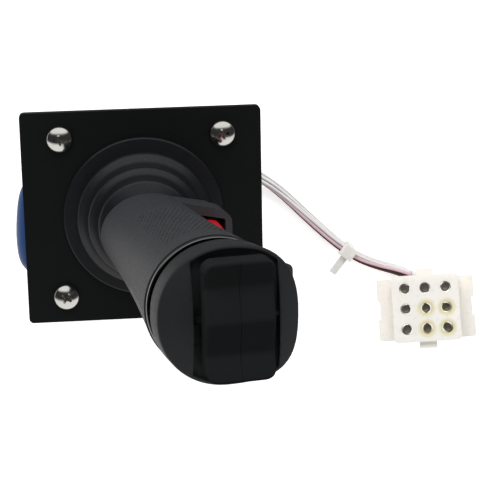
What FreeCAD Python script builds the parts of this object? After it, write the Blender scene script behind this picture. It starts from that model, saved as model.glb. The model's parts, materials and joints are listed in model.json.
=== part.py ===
"""Single-axis joystick controller: face plate, pivot frame, sprung lever, grip with trigger and thumb rocker.

Units are millimetres. The origin is the middle of the four panel screws, on the underside of the face plate.
+Z points up through the handle, +X forward to the trigger side and +Y to the operator's left.
"""
import FreeCAD, Part
import math
import os

from FreeCAD import Placement, Rotation, Vector

os.makedirs("parts", exist_ok=True)

# Face plate and panel screws
plate_length = 75.0
plate_width = 67.5
plate_thickness = 3.0
plate_corner = 1.5
screw_spacing = 50.8
screw_radius = 2.08
screw_hole_radius = 2.25
screw_head_radius = 4.15
screw_head_height = 2.6
screw_length = 14.0
screw_neck_radius = 1.85
screw_slot_width = 1.0
screw_slot_length = 4.4
screw_slot_depth = 1.3

# Weld studs and nuts under the plate
stud_radius = 2.0
stud_length = 8.0
stud_hole_radius = 2.2
nut_flats = 7.0
nut_height = 3.2

# Pivot frame folded from sheet
frame_sheet = 2.0
frame_length = 34.0
frame_inside = 36.0
frame_depth = 38.0
frame_flange = 9.0
frame_bend = 1.0
frame_stud_x = 12.0
foot_window_length = 16.0
foot_window_width = 12.0

# Pivot, bushes and lever travel
lever_travel = 20.0
shaft_radius = 3.0
shaft_overhang = 3.0
running_gap = 0.05
bush_wall = 1.45
bush_flange_radius = 6.0
bush_flange = 1.0
clip_thickness = 0.8
clip_groove = 0.5
clip_radius = 5.0
clip_gap = 0.1

# Lever hub
hub_radius = 9.0
hub_left = 13.0
hub_right = 7.0
nose_radius = 7.0
end_play = 0.2
boss_radius = 6.5
boss_height = 13.0
tail_half_width = 2.5
tail_reach = 14.0
pin_radius = 1.5
hub_pin_inset = 4.0
hub_pin_short = 0.4
stop_pin_radius = 2.0
stop_pin_drop = 11.5
stop_pin_reach = 1.0
stop_gap = 0.1

# Centring spring
spring_wire = 0.7
spring_coil_radius = 8.2
spring_turns = 4
spring_pitch = 1.55
spring_leg_spread = 3.2
spring_leg_drop = 15.0
spring_leg_floor_gap = 2.5
spring_tongue_drop = 9.2
spring_tongue_sheet = 1.2
spring_tongue_stem = 1.5
spring_post_rise = 1.0
spring_clearance = 1.3

# Gear train to the position sensor
gear_module = 0.8
sector_teeth = 59
sector_teeth_cut = 8
pinion_teeth = 16
pressure_angle = 20.0
backlash = 0.12
gear_width = 3.0
gear_screw_radius = 1.5
gear_screw_head = 2.6
gear_screw_depth = 7.0
gear_rim = 3.2
pinion_hub_radius = 5.0
pinion_hub_width = 4.0

# Position sensor
sensor_radius = 11.0
sensor_length = 30.0
sensor_end_radius = 7.5
sensor_shaft_radius = 3.0
sensor_bush_radius = 4.75
sensor_bush_depth = 3.0
sensor_bush_proud = 0.4
sensor_shaft_depth = 13.0
sensor_shaft_proud = 0.5
sensor_nut_gap = 0.8
sensor_nut_flats = 12.7
sensor_nut_height = 2.2
sensor_washer_height = 0.5
washer_gap = 0.1
bracket_sheet = 2.0
bracket_width = 14.0
bracket_foot = 12.5
terminal_pitch = 5.0
terminal_length = 5.5
terminal_width = 2.2
terminal_sheet = 0.6
terminal_root = 1.2

# Rubber boot
boot_wall = 1.2
boot_flange_radius = 24.5
boot_flange = 1.5
boot_neck_radius = 14.8
boot_hole_gap = 0.2
boot_lip_radius = 17.0
boot_lip = 1.8
boot_cuff_radius = 6.4
boot_cuff_top = 19.2
boot_foot_radius = 18.8
boot_crests = [(20.7, 4.9), (17.3, 10.0), (14.3, 15.0)]
boot_grooves = [(15.4, 7.9), (12.4, 12.9), (6.4, 17.6)]
boot_crest_bends = [1.65, 1.6, 1.3]
boot_groove_bend = 0.4
boot_rim_bend = 0.6
boot_least_bend = 0.2

# Handle, which leans forward above the bend in the rod
cant = 9.4
bend_height = 22.5
rod_radius = 4.0
rod_bore = 2.4
rod_reach = 40.0
grip_bottom = 1.8
grip_top = 82.0
grip_base = (14.8, 12.2)
grip_waist = (15.8, 14.8)
grip_waist_height = 44.0
grip_crown = (18.4, 18.3)
grip_wall = 2.2
grip_floor = 3.0
grip_edge = 1.6
rib_thickness = 2.5
rib_heights = (15.6, 31.6)

# Finger guard moulded at the foot of the grip
guard_reach = 23.4
guard_half_width = 10.9
guard_height = 11.5
guard_corner = 5.5
guard_wall = 2.0

# Hood moulded at the front of the grip, over the top of the trigger
hood_low = 60.8
hood_reach_low = 19.9
hood_reach_high = 21.6
hood_half_width = 8.8
hood_corner = 1.8
hood_wall = 2.0
hood_roof = 4.0

# Grip screws: place along the lean axis, place behind it, depth of the head's seat
grip_screw_places = [(10.6, -9.0, 7.0), (47.6, -9.6, 9.2), (71.6, -10.4, 10.8)]
grip_screw_radius = 1.3
grip_screw_head = 2.5
grip_screw_head_height = 1.8
grip_boss_radius = 3.0
grip_seat_radius = 3.9
grip_screw_reach = 7.0

# Trigger
trigger_half_width = 6.4
trigger_gap = 0.5
trigger_low = 6.2
trigger_high = 60.4
trigger_neck_top = 73.0
trigger_neck_half = 6.0
trigger_pin_height = 69.6
trigger_pin_forward = 13.0
trigger_pin_radius = 1.5
trigger_hub_radius = 3.4
trigger_back = 13.4
trigger_wall = 2.0
trigger_face = 18.0
trigger_edge = 3.4
trigger_nub_radius = 2.4

# Trigger switch and spring
switch_length = 19.8
switch_width = 6.4
switch_height = 10.2
switch_rod_gap = 2.6
switch_press_rise = 13.0
switch_front = 5.2
plunger_radius = 1.2
plunger_proud = 1.6
plunger_depth = 1.6
plunger_gap = 0.2
switch_screw_radius = 1.0
switch_screw_inset = 2.8
switch_screw_back = 2.4
switch_screw_head = 1.9
switch_screw_head_height = 1.2
switch_screw_reach = 4.5
switch_boss_wall = 1.6
trigger_spring_height = 24.6
trigger_spring_radius = 3.0
trigger_spring_wire = 0.4
trigger_spring_turns = 5

# Collar ring and cap
ring_gap = 0.3
ring_height = 1.4
ring_radius = 18.1
cap_radius = 18.4
cap_bulge = 0.5
cap_top = 97.9
cap_edge = 2.2
spigot_radius = 15.7
spigot_wall = 2.0
spigot_depth = 5.0
channel_width = 23.0
channel_floor = 93.1
channel_half_length = 16.9
channel_bend = 1.0
cap_floor = 3.0

# Thumb rocker
rocker_offset = 2.5
rocker_width = 18.4
rocker_length = 31.6
rocker_skirt = 95.6
rocker_crown = 101.6
rocker_valley_drop = 2.6
rocker_ridge_drop = 0.5
rocker_valley_place = 8.9
rocker_plan_corner = 2.4
rocker_edge = 1.0
rocker_corner = 1.6
rocker_wall = 2.0
rocker_pin_height = 94.8
rocker_pin_radius = 1.25
rocker_lug_radius = 2.8
rocker_lug_width = 12.0
stem_width = 5.0
stem_thickness = 3.0
stem_reach = 9.0
rocker_switch_length = 18.0
rocker_switch_width = 15.0
rocker_switch_height = 11.0
slot_side_gap = 0.7

# Wiring
harness_radius = 1.9
sensor_lead_radius = 1.1
handle_wire_radius = 1.5
sleeve_radius = 2.8
sleeve_length = 10.5
clamp_wall = 1.2
clamp_width = 6.0
clamp_screw_radius = 1.5
clamp_foot = 1.4
clamp_screw_head = 2.8
clamp_screw_head_height = 1.8
tab_length = 10.0
tie_wall = 0.8
tie_width = 2.6
tie_head_width = 4.2
tie_head_length = 4.4
tie_head_height = 3.2
tie_tail_reach = 9.0
wire_exit_low = -4.5
wire_exit_high = 4.0
handle_route = [(1.2, -5.7, 43.0), (1.8, -6.4, 55.0), (1.9, -6.4, 68.0), (2.4, -6.0, 78.9)]
window_low = 28.0
window_width = 5.2

# Nine-way connector
pin_pitch = 6.7
pin_ways = 3
connector_side = 22.0
connector_length = 28.0
connector_hole_radius = 1.75
connector_rear_hole = 2.4
connector_rear_depth = 8.0
contact_radius = 1.45
contact_bore = 1.05
contact_length = 14.0
contact_set_back = 1.6
ear_reach = 5.1
ear_set_back = 9.0
ear_height = 20.6
ear_notch = 6.0
ear_notch_depth = 0.8
ear_thickness = 8.0
tab_width = 5.8
tab_rise = 2.2
tab_run = 12.0
tab_set_back = 1.5
connector_corner = 1.2

# Places worked out from the sizes above
pivot_depth = frame_depth - frame_sheet - spring_leg_floor_gap - spring_leg_drop
pivot = Vector(0, 0, -pivot_depth)
switch_low = rod_reach + switch_rod_gap
trigger_press_height = switch_low + switch_press_rise
frame_half = frame_inside / 2
frame_outer = frame_half + frame_sheet
floor_z = -frame_depth
spring_post_drop = spring_leg_drop - spring_post_rise
sector_pitch_radius = gear_module * sector_teeth / 2
pinion_pitch_radius = gear_module * pinion_teeth / 2
sensor_x = -(sector_pitch_radius + pinion_pitch_radius)
sensor_axis = Vector(sensor_x, 0, -pivot_depth)
sensor_face = hub_left - sensor_nut_gap - sensor_nut_height - sensor_washer_height - bracket_sheet
plate_hole_radius = boot_neck_radius + boot_hole_gap
flange_stud_y = frame_outer + frame_flange / 2
rocker_middle = rocker_offset
handle_place = Placement(Vector(0, 0, bend_height), Rotation(Vector(0, 1, 0), cant))
X, Y, Z = Vector(1, 0, 0), Vector(0, 1, 0), Vector(0, 0, 1)
nodes = {}


def add(name, shape):
    """Keeps one or more separate solids as one named piece."""
    solids = shape if isinstance(shape, list) else [shape]
    solids = [solid for item in solids for solid in item.Solids]
    nodes[name] = solids[0] if len(solids) == 1 else Part.makeCompound(solids)


def placed(shape, placement):
    return shape.transformed(placement.toMatrix(), True)


def on_handle(shape):
    """Moves a shape from the handle's own axes to the part's frame."""
    return placed(shape, handle_place)


def block(x0, x1, y0, y1, z0, z1):
    return Part.makeBox(x1 - x0, y1 - y0, z1 - z0, Vector(x0, y0, z0))


def rod(radius, start, direction, length):
    return Part.makeCylinder(radius, length, start, direction)


def tube(outer, inner, start, direction, length):
    return rod(outer, start, direction, length).cut(rod(inner, start, direction, length))


def prism(points, direction):
    """A solid pushed from a flat outline of straight sides."""
    wire = Part.makePolygon(points + [points[0]])
    return Part.Face(wire).extrude(direction)


def fuse(first, *others):
    return first.multiFuse(list(others)).removeSplitter()


def rounded(shape, radius, chosen):
    """Rounds the edges that a test picks by their middle and their end-to-end direction."""
    edges = []
    for edge in shape.Edges:
        middle = edge.valueAt((edge.FirstParameter + edge.LastParameter) / 2)
        run = edge.Vertexes[-1].Point - edge.Vertexes[0].Point
        if chosen(middle, run):
            edges.append(edge)
    return shape.makeFillet(radius, edges)


def along(run, axis):
    return run.Length > 1e-6 and abs(run.normalize().dot(axis)) > 0.999


def hexagon(flats, start, direction, height):
    """A hexagonal prism standing on a plane, its axis along a direction."""
    corner = flats / math.sqrt(3)
    turns = [k * math.pi / 3 for k in range(6)]
    points = [Vector(corner * math.cos(turn), corner * math.sin(turn), 0) for turn in turns]
    solid = prism(points, Vector(0, 0, height))
    return placed(solid, Placement(start, Rotation(Z, direction)))


def nut(flats, bore, start, direction, height):
    return hexagon(flats, start, direction, height).cut(rod(bore, start, direction, height))


def smooth(points):
    curve = Part.BSplineCurve()
    curve.interpolate(points)
    return curve


def revolved(edges, base, axis):
    return Part.Face(Part.Wire(Part.__sortEdges__(edges))).revolve(base, axis, 360)


def coil(radius, wire_radius, pitch, turns, base, direction):
    """A wire helix that starts at its base and climbs along a direction, in wire of eight flats."""
    helix = Part.makeHelix(pitch, pitch * turns, radius)
    angles = [math.pi / 8 + k * math.pi / 4 for k in range(9)]
    corners = [Vector(radius + wire_radius * math.cos(a), 0, wire_radius * math.sin(a)) for a in angles]
    section = Part.makePolygon(corners)
    solid = Part.Wire(helix.Edges).makePipeShell([section], True, True)
    return placed(solid, Placement(base, Rotation(Z, direction)))


def cord(points, radius):
    """A tube along straight runs joined by tangent arcs, with its length and its bend radii."""
    edges, radii, length = [], [], 0.0
    last = points[0]
    for before, corner, after in zip(points, points[1:], points[2:]):
        into, out = corner - before, after - corner
        half_turn = into.getAngle(out) / 2
        shorter = min(into.Length, out.Length)
        bend = 0.45 * shorter / math.tan(half_turn)
        into.normalize()
        out.normalize()
        start, end = corner - into * 0.45 * shorter, corner + out * 0.45 * shorter
        inward = (out - into).normalize()
        middle = corner + inward * (bend / math.cos(half_turn) - bend)
        edges += [Part.LineSegment(last, start).toShape(), Part.Arc(start, middle, end).toShape()]
        radii.append(bend)
        last = end
    edges.append(Part.LineSegment(last, points[-1]).toShape())
    path = Part.Wire(edges)
    length = sum(edge.Length for edge in edges)
    section = Part.Wire(Part.makeCircle(radius, points[0], points[1] - points[0]))
    return path.makePipeShell([section], True, False), length, radii


# The face plate carries everything and screws to the panel from above.
def screw_places():
    half = screw_spacing / 2
    return [Vector(x, y, 0) for x in (-half, half) for y in (-half, half)]


def face_plate():
    half_x, half_y = plate_length / 2, plate_width / 2
    plate = block(-half_x, half_x, -half_y, half_y, 0, plate_thickness)
    plate = rounded(plate, plate_corner, lambda middle, run: along(run, Z))
    plate = plate.cut(rod(plate_hole_radius, Vector(0, 0, 0), Z, plate_thickness))
    for place in screw_places():
        plate = plate.cut(rod(screw_hole_radius, place, Z, plate_thickness))
    return plate


def panel_screw(place):
    """Pan-head screw with a cross recess; its rolled thread starts below the plate, under a thinner neck."""
    top = plate_thickness + screw_head_height
    thread = rod(screw_radius, place + Z * (plate_thickness - screw_length), Z, screw_length - plate_thickness)
    neck = rod(screw_neck_radius, place, Z, plate_thickness)
    head = rod(screw_head_radius, place + Z * plate_thickness, Z, screw_head_height)
    head = rounded(head, screw_head_height * 0.55, lambda middle, run: middle.z > top - 0.01)
    for turn in (0, 90):
        half, arm = screw_slot_width / 2, screw_slot_length / 2
        slot = block(-arm, arm, -half, half, top - screw_slot_depth, top)
        head = head.cut(placed(slot, Placement(place, Rotation(Z, 45 + turn))))
    return fuse(thread, neck, head)


add("face_plate", face_plate())
add("panel_screws", [panel_screw(place) for place in screw_places()])


# Studs welded under the plate hold the pivot frame and the sensor bracket with nuts.
def frame_studs():
    return [Vector(x, y, 0) for x in (-frame_stud_x, frame_stud_x) for y in (-flange_stud_y, flange_stud_y)]


def bracket_studs():
    y = sensor_face + bracket_sheet + bracket_foot * 0.55
    step = bracket_width / 4
    return [Vector(sensor_x + side * step, y, 0) for side in (-1, 1)]


def weld_stud(place):
    return rod(stud_radius, place - Z * stud_length, Z, stud_length)


def stud_nut(place, sheet):
    return nut(nut_flats, stud_radius, place - Z * (sheet + nut_height), Z, nut_height)


add("weld_studs", [weld_stud(place) for place in frame_studs() + bracket_studs()])
add("frame_nuts", [stud_nut(place, frame_sheet) for place in frame_studs()])
add("bracket_nuts", [stud_nut(place, bracket_sheet) for place in bracket_studs()])


# The pivot frame is one strip folded to a channel with outward flanges.
def clamp_middle():
    """Where the loom passes through its clamp, above the tab of the frame."""
    height = floor_z + frame_sheet + sleeve_radius + clamp_wall
    return Vector(frame_length / 2 + tab_length * 0.55, 6.3, height)


def pivot_frame():
    outer, inner, sheet = frame_outer, frame_half, frame_sheet
    reach = outer + frame_flange
    half = frame_length / 2
    outline = [
        (-reach, 0), (-inner, 0), (-inner, floor_z + sheet), (inner, floor_z + sheet), (inner, 0), (reach, 0),
        (reach, -sheet), (outer, -sheet), (outer, floor_z),
        (-outer, floor_z), (-outer, -sheet), (-reach, -sheet),
    ]
    frame = prism([Vector(-half, y, z) for y, z in outline], Vector(frame_length, 0, 0))
    inner_bends = [(-outer, -sheet), (outer, -sheet), (-inner, floor_z + sheet), (inner, floor_z + sheet)]
    outer_bends = [(-inner, 0), (inner, 0), (-outer, floor_z), (outer, floor_z)]

    def at(corners):
        def chosen(middle, run):
            near = [math.hypot(middle.y - y, middle.z - z) < 0.01 for y, z in corners]
            return any(near) and along(run, X)
        return chosen

    frame = rounded(frame, frame_bend, at(inner_bends))
    frame = rounded(frame, frame_bend + sheet * 0.9, at(outer_bends))
    middle = clamp_middle()
    tab = block(half - 1, half + tab_length, middle.y - 11.5, middle.y + 4.5, floor_z, floor_z + sheet)
    tab = rounded(tab, 3, lambda spot, run: along(run, Z) and spot.x > half)
    frame = fuse(frame, tab)
    half_window = foot_window_length / 2
    window = block(-half_window, half_window, -foot_window_width, 0, floor_z, floor_z + sheet)
    frame = frame.cut(rounded(window, 2, lambda spot, run: along(run, Z)))
    frame = frame.cut(rod(shaft_radius + running_gap + bush_wall, pivot - Y * reach, Y, 2 * reach))
    for place in frame_studs():
        frame = frame.cut(rod(stud_hole_radius, place - Z * sheet, Z, sheet))
    frame = frame.cut(rod(clamp_screw_radius + 0.1, clamp_screw_place() - Z * sheet, Z, sheet))
    for drop, side, radius in frame_pins():
        start = Vector(side, -outer, -pivot_depth - drop)
        frame = frame.cut(rod(radius, start, Y, sheet))
    return frame


def clamp_screw_place():
    middle = clamp_middle()
    return Vector(middle.x, middle.y - sleeve_radius - clamp_wall - 3.4, floor_z + frame_sheet)


def stop_side():
    """How far each stop pin stands from the middle, so that the tail meets it at full travel."""
    swing = math.radians(lever_travel)
    needed = tail_half_width + stop_pin_radius + stop_gap
    return (needed + stop_pin_drop * math.sin(swing)) / math.cos(swing)


def leg_line():
    """The tangent point and lower end of a spring leg, as forward and drop from the pivot."""
    reach = math.hypot(spring_leg_spread, spring_leg_drop)
    angle = math.atan2(spring_leg_drop, spring_leg_spread) - math.acos(spring_coil_radius / reach)
    start = (spring_coil_radius * math.cos(angle), spring_coil_radius * math.sin(angle))
    return start, (spring_leg_spread, spring_leg_drop)


def between_legs(drop):
    """The radius that just fits between the spring's legs at a drop below the pivot."""
    (x0, d0), (x1, d1) = leg_line()
    forward = x0 + (x1 - x0) * (drop - d0) / (d1 - d0)
    slope = math.atan2(x0 - x1, d1 - d0)
    return forward * math.cos(slope) - spring_wire - stop_gap


def frame_pins():
    """Drop, side and radius of each pin riveted into the right cheek."""
    post = between_legs(spring_post_drop)
    return [
        (stop_pin_drop, -stop_side(), stop_pin_radius),
        (stop_pin_drop, stop_side(), stop_pin_radius),
        (spring_post_drop, 0.0, post),
    ]


def bush(side):
    """Flanged plain bearing pressed into a cheek from the inside."""
    bore = shaft_radius + running_gap
    inner_face = pivot + Y * side * frame_half
    outward = Y * side
    body = tube(bore + bush_wall, bore, inner_face, outward, frame_sheet)
    flange = tube(bush_flange_radius, bore, inner_face - outward * bush_flange, outward, bush_flange)
    return fuse(body, flange)


def frame_pin(index, inner_end):
    drop, side, radius = frame_pins()[index]
    start = Vector(side, -frame_outer, -pivot_depth - drop)
    return rod(radius, start, Y, frame_outer + inner_end)


add("pivot_frame", pivot_frame())
add("shaft_bushes", [bush(-1), bush(1)])
add("stop_pins", [frame_pin(0, -stop_pin_reach), frame_pin(1, -stop_pin_reach)])
add("spring_post", frame_pin(2, -hub_right - 1.2))


# The lever turns on one shaft, pinned to a hub that carries the rod, the tail and the sector gear.
def pivot_shaft():
    reach = frame_outer + shaft_overhang
    shaft = rod(shaft_radius, pivot - Y * reach, Y, 2 * reach)
    for side in (-1, 1):
        start = pivot + Y * side * (frame_outer + clip_gap)
        groove = tube(shaft_radius + 1, shaft_radius - clip_groove, start, Y * side, clip_thickness)
        shaft = shaft.cut(groove)
    shaft = shaft.cut(hub_pin())
    return rounded(shaft, 0.5, lambda middle, run: abs(middle.y) > reach - 0.01)


def hub_pin():
    """Spring pin that locks the hub to the shaft."""
    reach = hub_radius - hub_pin_short
    return rod(pin_radius, pivot + Vector(-reach, hub_left - hub_pin_inset, 0), X, 2 * reach)


def shaft_clip(side):
    start = pivot + Y * side * (frame_outer + clip_gap)
    ring = tube(clip_radius, shaft_radius - clip_groove, start, Y * side, clip_thickness)
    mouth = shaft_radius - clip_groove
    gap = block(-mouth, mouth, -100, 100, -pivot_depth - clip_radius, -pivot_depth)
    return ring.cut(gap)


def lever_hub():
    start = pivot - Y * hub_right
    body = rod(hub_radius, start, Y, hub_left + hub_right)
    nose_end = frame_half - bush_flange - end_play
    nose = rod(nose_radius, pivot - Y * nose_end, Y, nose_end)
    boss = rod(boss_radius, pivot, Z, boss_height)
    half = tail_half_width
    tip = -pivot_depth - tail_reach
    tail = block(-half, half, -hub_right, -stop_pin_reach, tip, -pivot_depth - hub_radius / 2)
    tail = rounded(tail, half * 0.9, lambda middle, run: along(run, Y) and middle.z < tip + 0.1)
    hub = fuse(body, nose, boss, tail)
    hub = hub.cut(rod(shaft_radius, pivot - Y * 50, Y, 100))
    hub = hub.cut(rod(rod_radius, pivot + Z * (shaft_radius + 2), Z, 50))
    hub = hub.cut(rod(pin_radius, pivot + Vector(-50, hub_left - hub_pin_inset, 0), X, 100))
    hub = hub.cut(tongue_stem())
    for place in gear_screw_places():
        hub = hub.cut(rod(gear_screw_radius, place - Y * gear_screw_depth, Y, gear_screw_depth))
    return hub


def gear_screw_places():
    reach = hub_radius * 0.66
    return [pivot + Vector(0, hub_left, side * reach) for side in (-1, 1)]


def tongue_stem():
    """The part of the spring tongue that is pressed into a slot in the hub's tail."""
    top, half = -pivot_depth - spring_tongue_drop, spring_tongue_stem
    return block(-half, half, -hub_right, -stop_pin_reach, top - spring_tongue_sheet, top)


def spring_tongue():
    """Flat tongue under the coil that the spring's legs close on."""
    half = between_legs(spring_tongue_drop + spring_tongue_sheet)
    top = -pivot_depth - spring_tongue_drop
    nose_end = frame_half - bush_flange - end_play
    blade = block(-half, half, -nose_end, -hub_right, top - spring_tongue_sheet, top)
    return fuse(blade, tongue_stem())


def return_spring():
    """Torsion spring round the hub's nose, with two legs that pinch the post and the tongue."""
    (x0, drop0), (x1, drop1) = leg_line()
    angle = math.degrees(math.atan2(drop0, x0))
    turns = spring_turns + (180 + 2 * angle) / 360
    first = -hub_right - spring_clearance
    last = first - spring_pitch * turns
    helix = coil(spring_coil_radius, spring_wire, spring_pitch, turns, Vector(0, 0, 0), Z)
    helix = placed(helix, Placement(Vector(0, 0, 0), Rotation(Z, -angle)))
    helix = placed(helix, Placement(pivot + Y * first, Rotation(X, 90)))
    legs = []
    for side, y in ((1, first), (-1, last)):
        start = pivot + Vector(side * x0, y, -drop0)
        run = Vector(side * (x1 - x0), 0, drop0 - drop1)
        legs.append(rod(spring_wire, start, run, run.Length))
    return fuse(helix, *legs)


add("pivot_shaft", pivot_shaft())
add("shaft_clips", [shaft_clip(-1), shaft_clip(1)])
add("lever_hub", lever_hub())
add("hub_pin", hub_pin())
add("spring_tongue", spring_tongue())
add("return_spring", return_spring())


# A toothed sector on the hub drives a small pinion on the position sensor's shaft.
def half_tooth(teeth, radius):
    """Half the angle that a tooth takes at a radius, with involute flanks and some backlash."""
    pitch_radius = gear_module * teeth / 2
    base_radius = pitch_radius * math.cos(math.radians(pressure_angle))
    at_pitch = math.radians(pressure_angle)
    at_radius = math.acos(base_radius / max(radius, base_radius))
    spread = math.tan(at_pitch) - at_pitch - math.tan(at_radius) + at_radius
    return math.pi / (2 * teeth) - backlash / (2 * pitch_radius) + spread


def tooth(teeth, centre_angle, width):
    """One gear tooth about the origin, its root sunk a little into the rim, pushed along +Z."""
    pitch_radius = gear_module * teeth / 2
    tip = pitch_radius + gear_module * 0.96
    root = pitch_radius - gear_module * 1.45
    radii = [root + (tip - root) * k / 5 for k in range(6)]

    def point(radius, side):
        angle = centre_angle + side * half_tooth(teeth, radius)
        return Vector(radius * math.cos(angle), radius * math.sin(angle), 0)

    right = smooth([point(radius, -1) for radius in radii]).toShape()
    left = smooth([point(radius, 1) for radius in radii]).toShape()
    middle = Vector(tip * math.cos(centre_angle), tip * math.sin(centre_angle), 0)
    crest = Part.Arc(point(tip, -1), middle, point(tip, 1)).toShape()
    foot = Part.LineSegment(point(root, -1), point(root, 1)).toShape()
    return Part.Face(Part.Wire(Part.__sortEdges__([right, crest, left, foot]))).extrude(Z * width)


def facing_y(shape, base):
    """Turns a gear drawn flat about the origin so that its width runs along +Y from a base point."""
    return placed(shape, Placement(base, Rotation(X, -90)))


def sector_gear():
    step = 2 * math.pi / sector_teeth
    first = math.pi - step * (sector_teeth_cut - 1) / 2
    span = step * sector_teeth_cut / 2
    root = sector_pitch_radius - gear_module * 1.25
    teeth = [tooth(sector_teeth, first + step * k, gear_width) for k in range(sector_teeth_cut)]
    reach = 2 * root

    def fan(half_angle, inner, outer):
        back, rise = -reach * math.cos(half_angle), reach * math.sin(half_angle)
        cheek = [Vector(0, 0, 0), Vector(back, rise, 0), Vector(back, -rise, 0)]
        ring = rod(outer, Vector(0, 0, 0), Z, gear_width)
        if inner:
            ring = ring.cut(rod(inner, Vector(0, 0, 0), Z, gear_width))
        return prism(cheek, Z * gear_width).common(ring)

    gear = fuse(fan(span, 0, root), rod(hub_radius, Vector(0, 0, 0), Z, gear_width), *teeth)
    gear = gear.cut(fan(span * 0.62, hub_radius + gear_rim, root - gear_rim))
    gear = gear.cut(rod(shaft_radius, Vector(0, 0, 0), Z, gear_width))
    gear = facing_y(gear, pivot + Y * hub_left)
    for screw in gear_screws():
        gear = gear.cut(screw)
    return gear


def gear_screws():
    """Countersunk screws, flush with the outer face of the sector."""
    screws = []
    sink = gear_screw_head - gear_screw_radius
    for place in gear_screw_places():
        outer = place + Y * gear_width
        cone = Part.makeCone(gear_screw_head, gear_screw_radius, sink, outer, -Y)
        shank = rod(gear_screw_radius, place - Y * gear_screw_depth, Y, gear_screw_depth + gear_width - sink)
        screws.append(fuse(cone, shank))
    return screws


def pinion_gear():
    root = pinion_pitch_radius - gear_module * 1.25
    teeth = [tooth(pinion_teeth, 2 * math.pi * k / pinion_teeth, gear_width) for k in range(pinion_teeth)]
    gear = fuse(rod(root, Vector(0, 0, 0), Z, gear_width), *teeth)
    hub = rod(pinion_hub_radius, Z * gear_width, Z, pinion_hub_width)
    hub = rounded(hub, 0.4, lambda middle, run: middle.z > gear_width + pinion_hub_width - 0.01)
    gear = fuse(gear, hub).cut(rod(sensor_shaft_radius, Vector(0, 0, 0), Z, gear_width + pinion_hub_width))
    return facing_y(gear, sensor_axis + Y * hub_left).cut(set_screw())


def set_screw():
    start = sensor_axis + Vector(0, hub_left + gear_width + pinion_hub_width / 2, sensor_shaft_radius)
    return rod(gear_screw_radius * 0.8, start, Z, pinion_hub_radius - sensor_shaft_radius + 0.3)


add("sector_gear", sector_gear())
add("gear_screws", gear_screws())
add("pinion_gear", pinion_gear())
add("pinion_set_screw", set_screw())


# The position sensor is a sealed potentiometer held by its threaded bush in a bracket.
def sensor_body():
    r, back = sensor_radius, sensor_face - sensor_length
    outline = [
        (sensor_end_radius, sensor_face), (r * 0.83, sensor_face - 3.2), (r * 0.94, sensor_face - 9.0),
        (r, sensor_face - 17.0), (r * 0.985, sensor_face - 22.5), (r * 0.9, back + 3.4), (r * 0.72, back + 0.9),
        (r * 0.5, back),
    ]
    side = smooth([sensor_axis + Vector(radius, y, 0) for radius, y in outline]).toShape()
    front = Part.LineSegment(sensor_axis + Y * sensor_face, sensor_axis + Vector(sensor_end_radius, sensor_face, 0))
    end = Part.LineSegment(sensor_axis + Vector(r * 0.5, back, 0), sensor_axis + Y * back)
    spine = Part.LineSegment(sensor_axis + Y * back, sensor_axis + Y * sensor_face)
    body = revolved([side, front.toShape(), end.toShape(), spine.toShape()], sensor_axis, Y)
    bush_foot = sensor_axis + Y * (sensor_face - sensor_bush_depth)
    body = body.cut(rod(sensor_bush_radius, bush_foot, Y, sensor_bush_depth))
    depth = sensor_shaft_depth + 1
    return body.cut(rod(sensor_shaft_radius + running_gap, sensor_axis + Y * (sensor_face - depth), Y, depth))


def sensor_bush():
    start = sensor_axis + Y * (sensor_face - sensor_bush_depth)
    length = sensor_bush_depth + bracket_sheet + sensor_washer_height + sensor_nut_height + sensor_bush_proud
    return tube(sensor_bush_radius, sensor_shaft_radius + running_gap, start, Y, length)


def sensor_bracket():
    half, sheet = bracket_width / 2, bracket_sheet
    leg = block(sensor_x - half, sensor_x + half, sensor_face, sensor_face + sheet, -pivot_depth, 0)
    leg = fuse(leg, rod(half, sensor_axis + Y * sensor_face, Y, sheet))
    foot = block(sensor_x - half, sensor_x + half, sensor_face, sensor_face + sheet + bracket_foot, -sheet, 0)
    bracket = fuse(leg, foot)
    inner = (sensor_face + sheet, -sheet)
    outer = (sensor_face, 0)
    for (y, z), radius in ((inner, frame_bend), (outer, frame_bend + sheet * 0.9)):
        bracket = rounded(
            bracket, radius, lambda m, run: math.hypot(m.y - y, m.z - z) < 0.01 and along(run, X)
        )
    bracket = bracket.cut(rod(sensor_bush_radius + 0.1, sensor_axis, Y, 50))
    for place in bracket_studs():
        bracket = bracket.cut(rod(stud_hole_radius, place - Z * sheet, Z, sheet))
    return bracket


def sensor_terminal(index):
    y = sensor_face - sensor_length * 0.55 + (index - 1) * terminal_pitch
    top = -pivot_depth - sensor_radius + terminal_root
    low = top - terminal_root - terminal_length
    half_width, half_sheet = terminal_width / 2, terminal_sheet / 2
    blade = block(sensor_x - half_width, sensor_x + half_width, y - half_sheet, y + half_sheet, low, top)
    eye = Vector(sensor_x, y - terminal_sheet, low + terminal_root)
    return blade.cut(rod(half_width * 0.55, eye, Y, 2 * terminal_sheet))


bush_front = sensor_face + bracket_sheet
add("sensor_bracket", sensor_bracket())
add("sensor_terminals", [sensor_terminal(index) for index in range(3)])
add("sensor_body", sensor_body().cut(nodes["sensor_terminals"]))
add("sensor_bush", sensor_bush())
washer_seat = sensor_axis + Y * bush_front
washer = tube(sensor_end_radius, sensor_bush_radius + washer_gap, washer_seat, Y, sensor_washer_height)
add("sensor_washer", washer)
nut_start = sensor_axis + Y * (bush_front + sensor_washer_height)
add("sensor_nut", nut(sensor_nut_flats, sensor_bush_radius, nut_start, Y, sensor_nut_height))
shaft_start = sensor_face - sensor_shaft_depth
shaft_end = hub_left + gear_width + pinion_hub_width + sensor_shaft_proud
add("sensor_shaft", rod(sensor_shaft_radius, sensor_axis + Y * shaft_start, Y, shaft_end - shaft_start))


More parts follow.
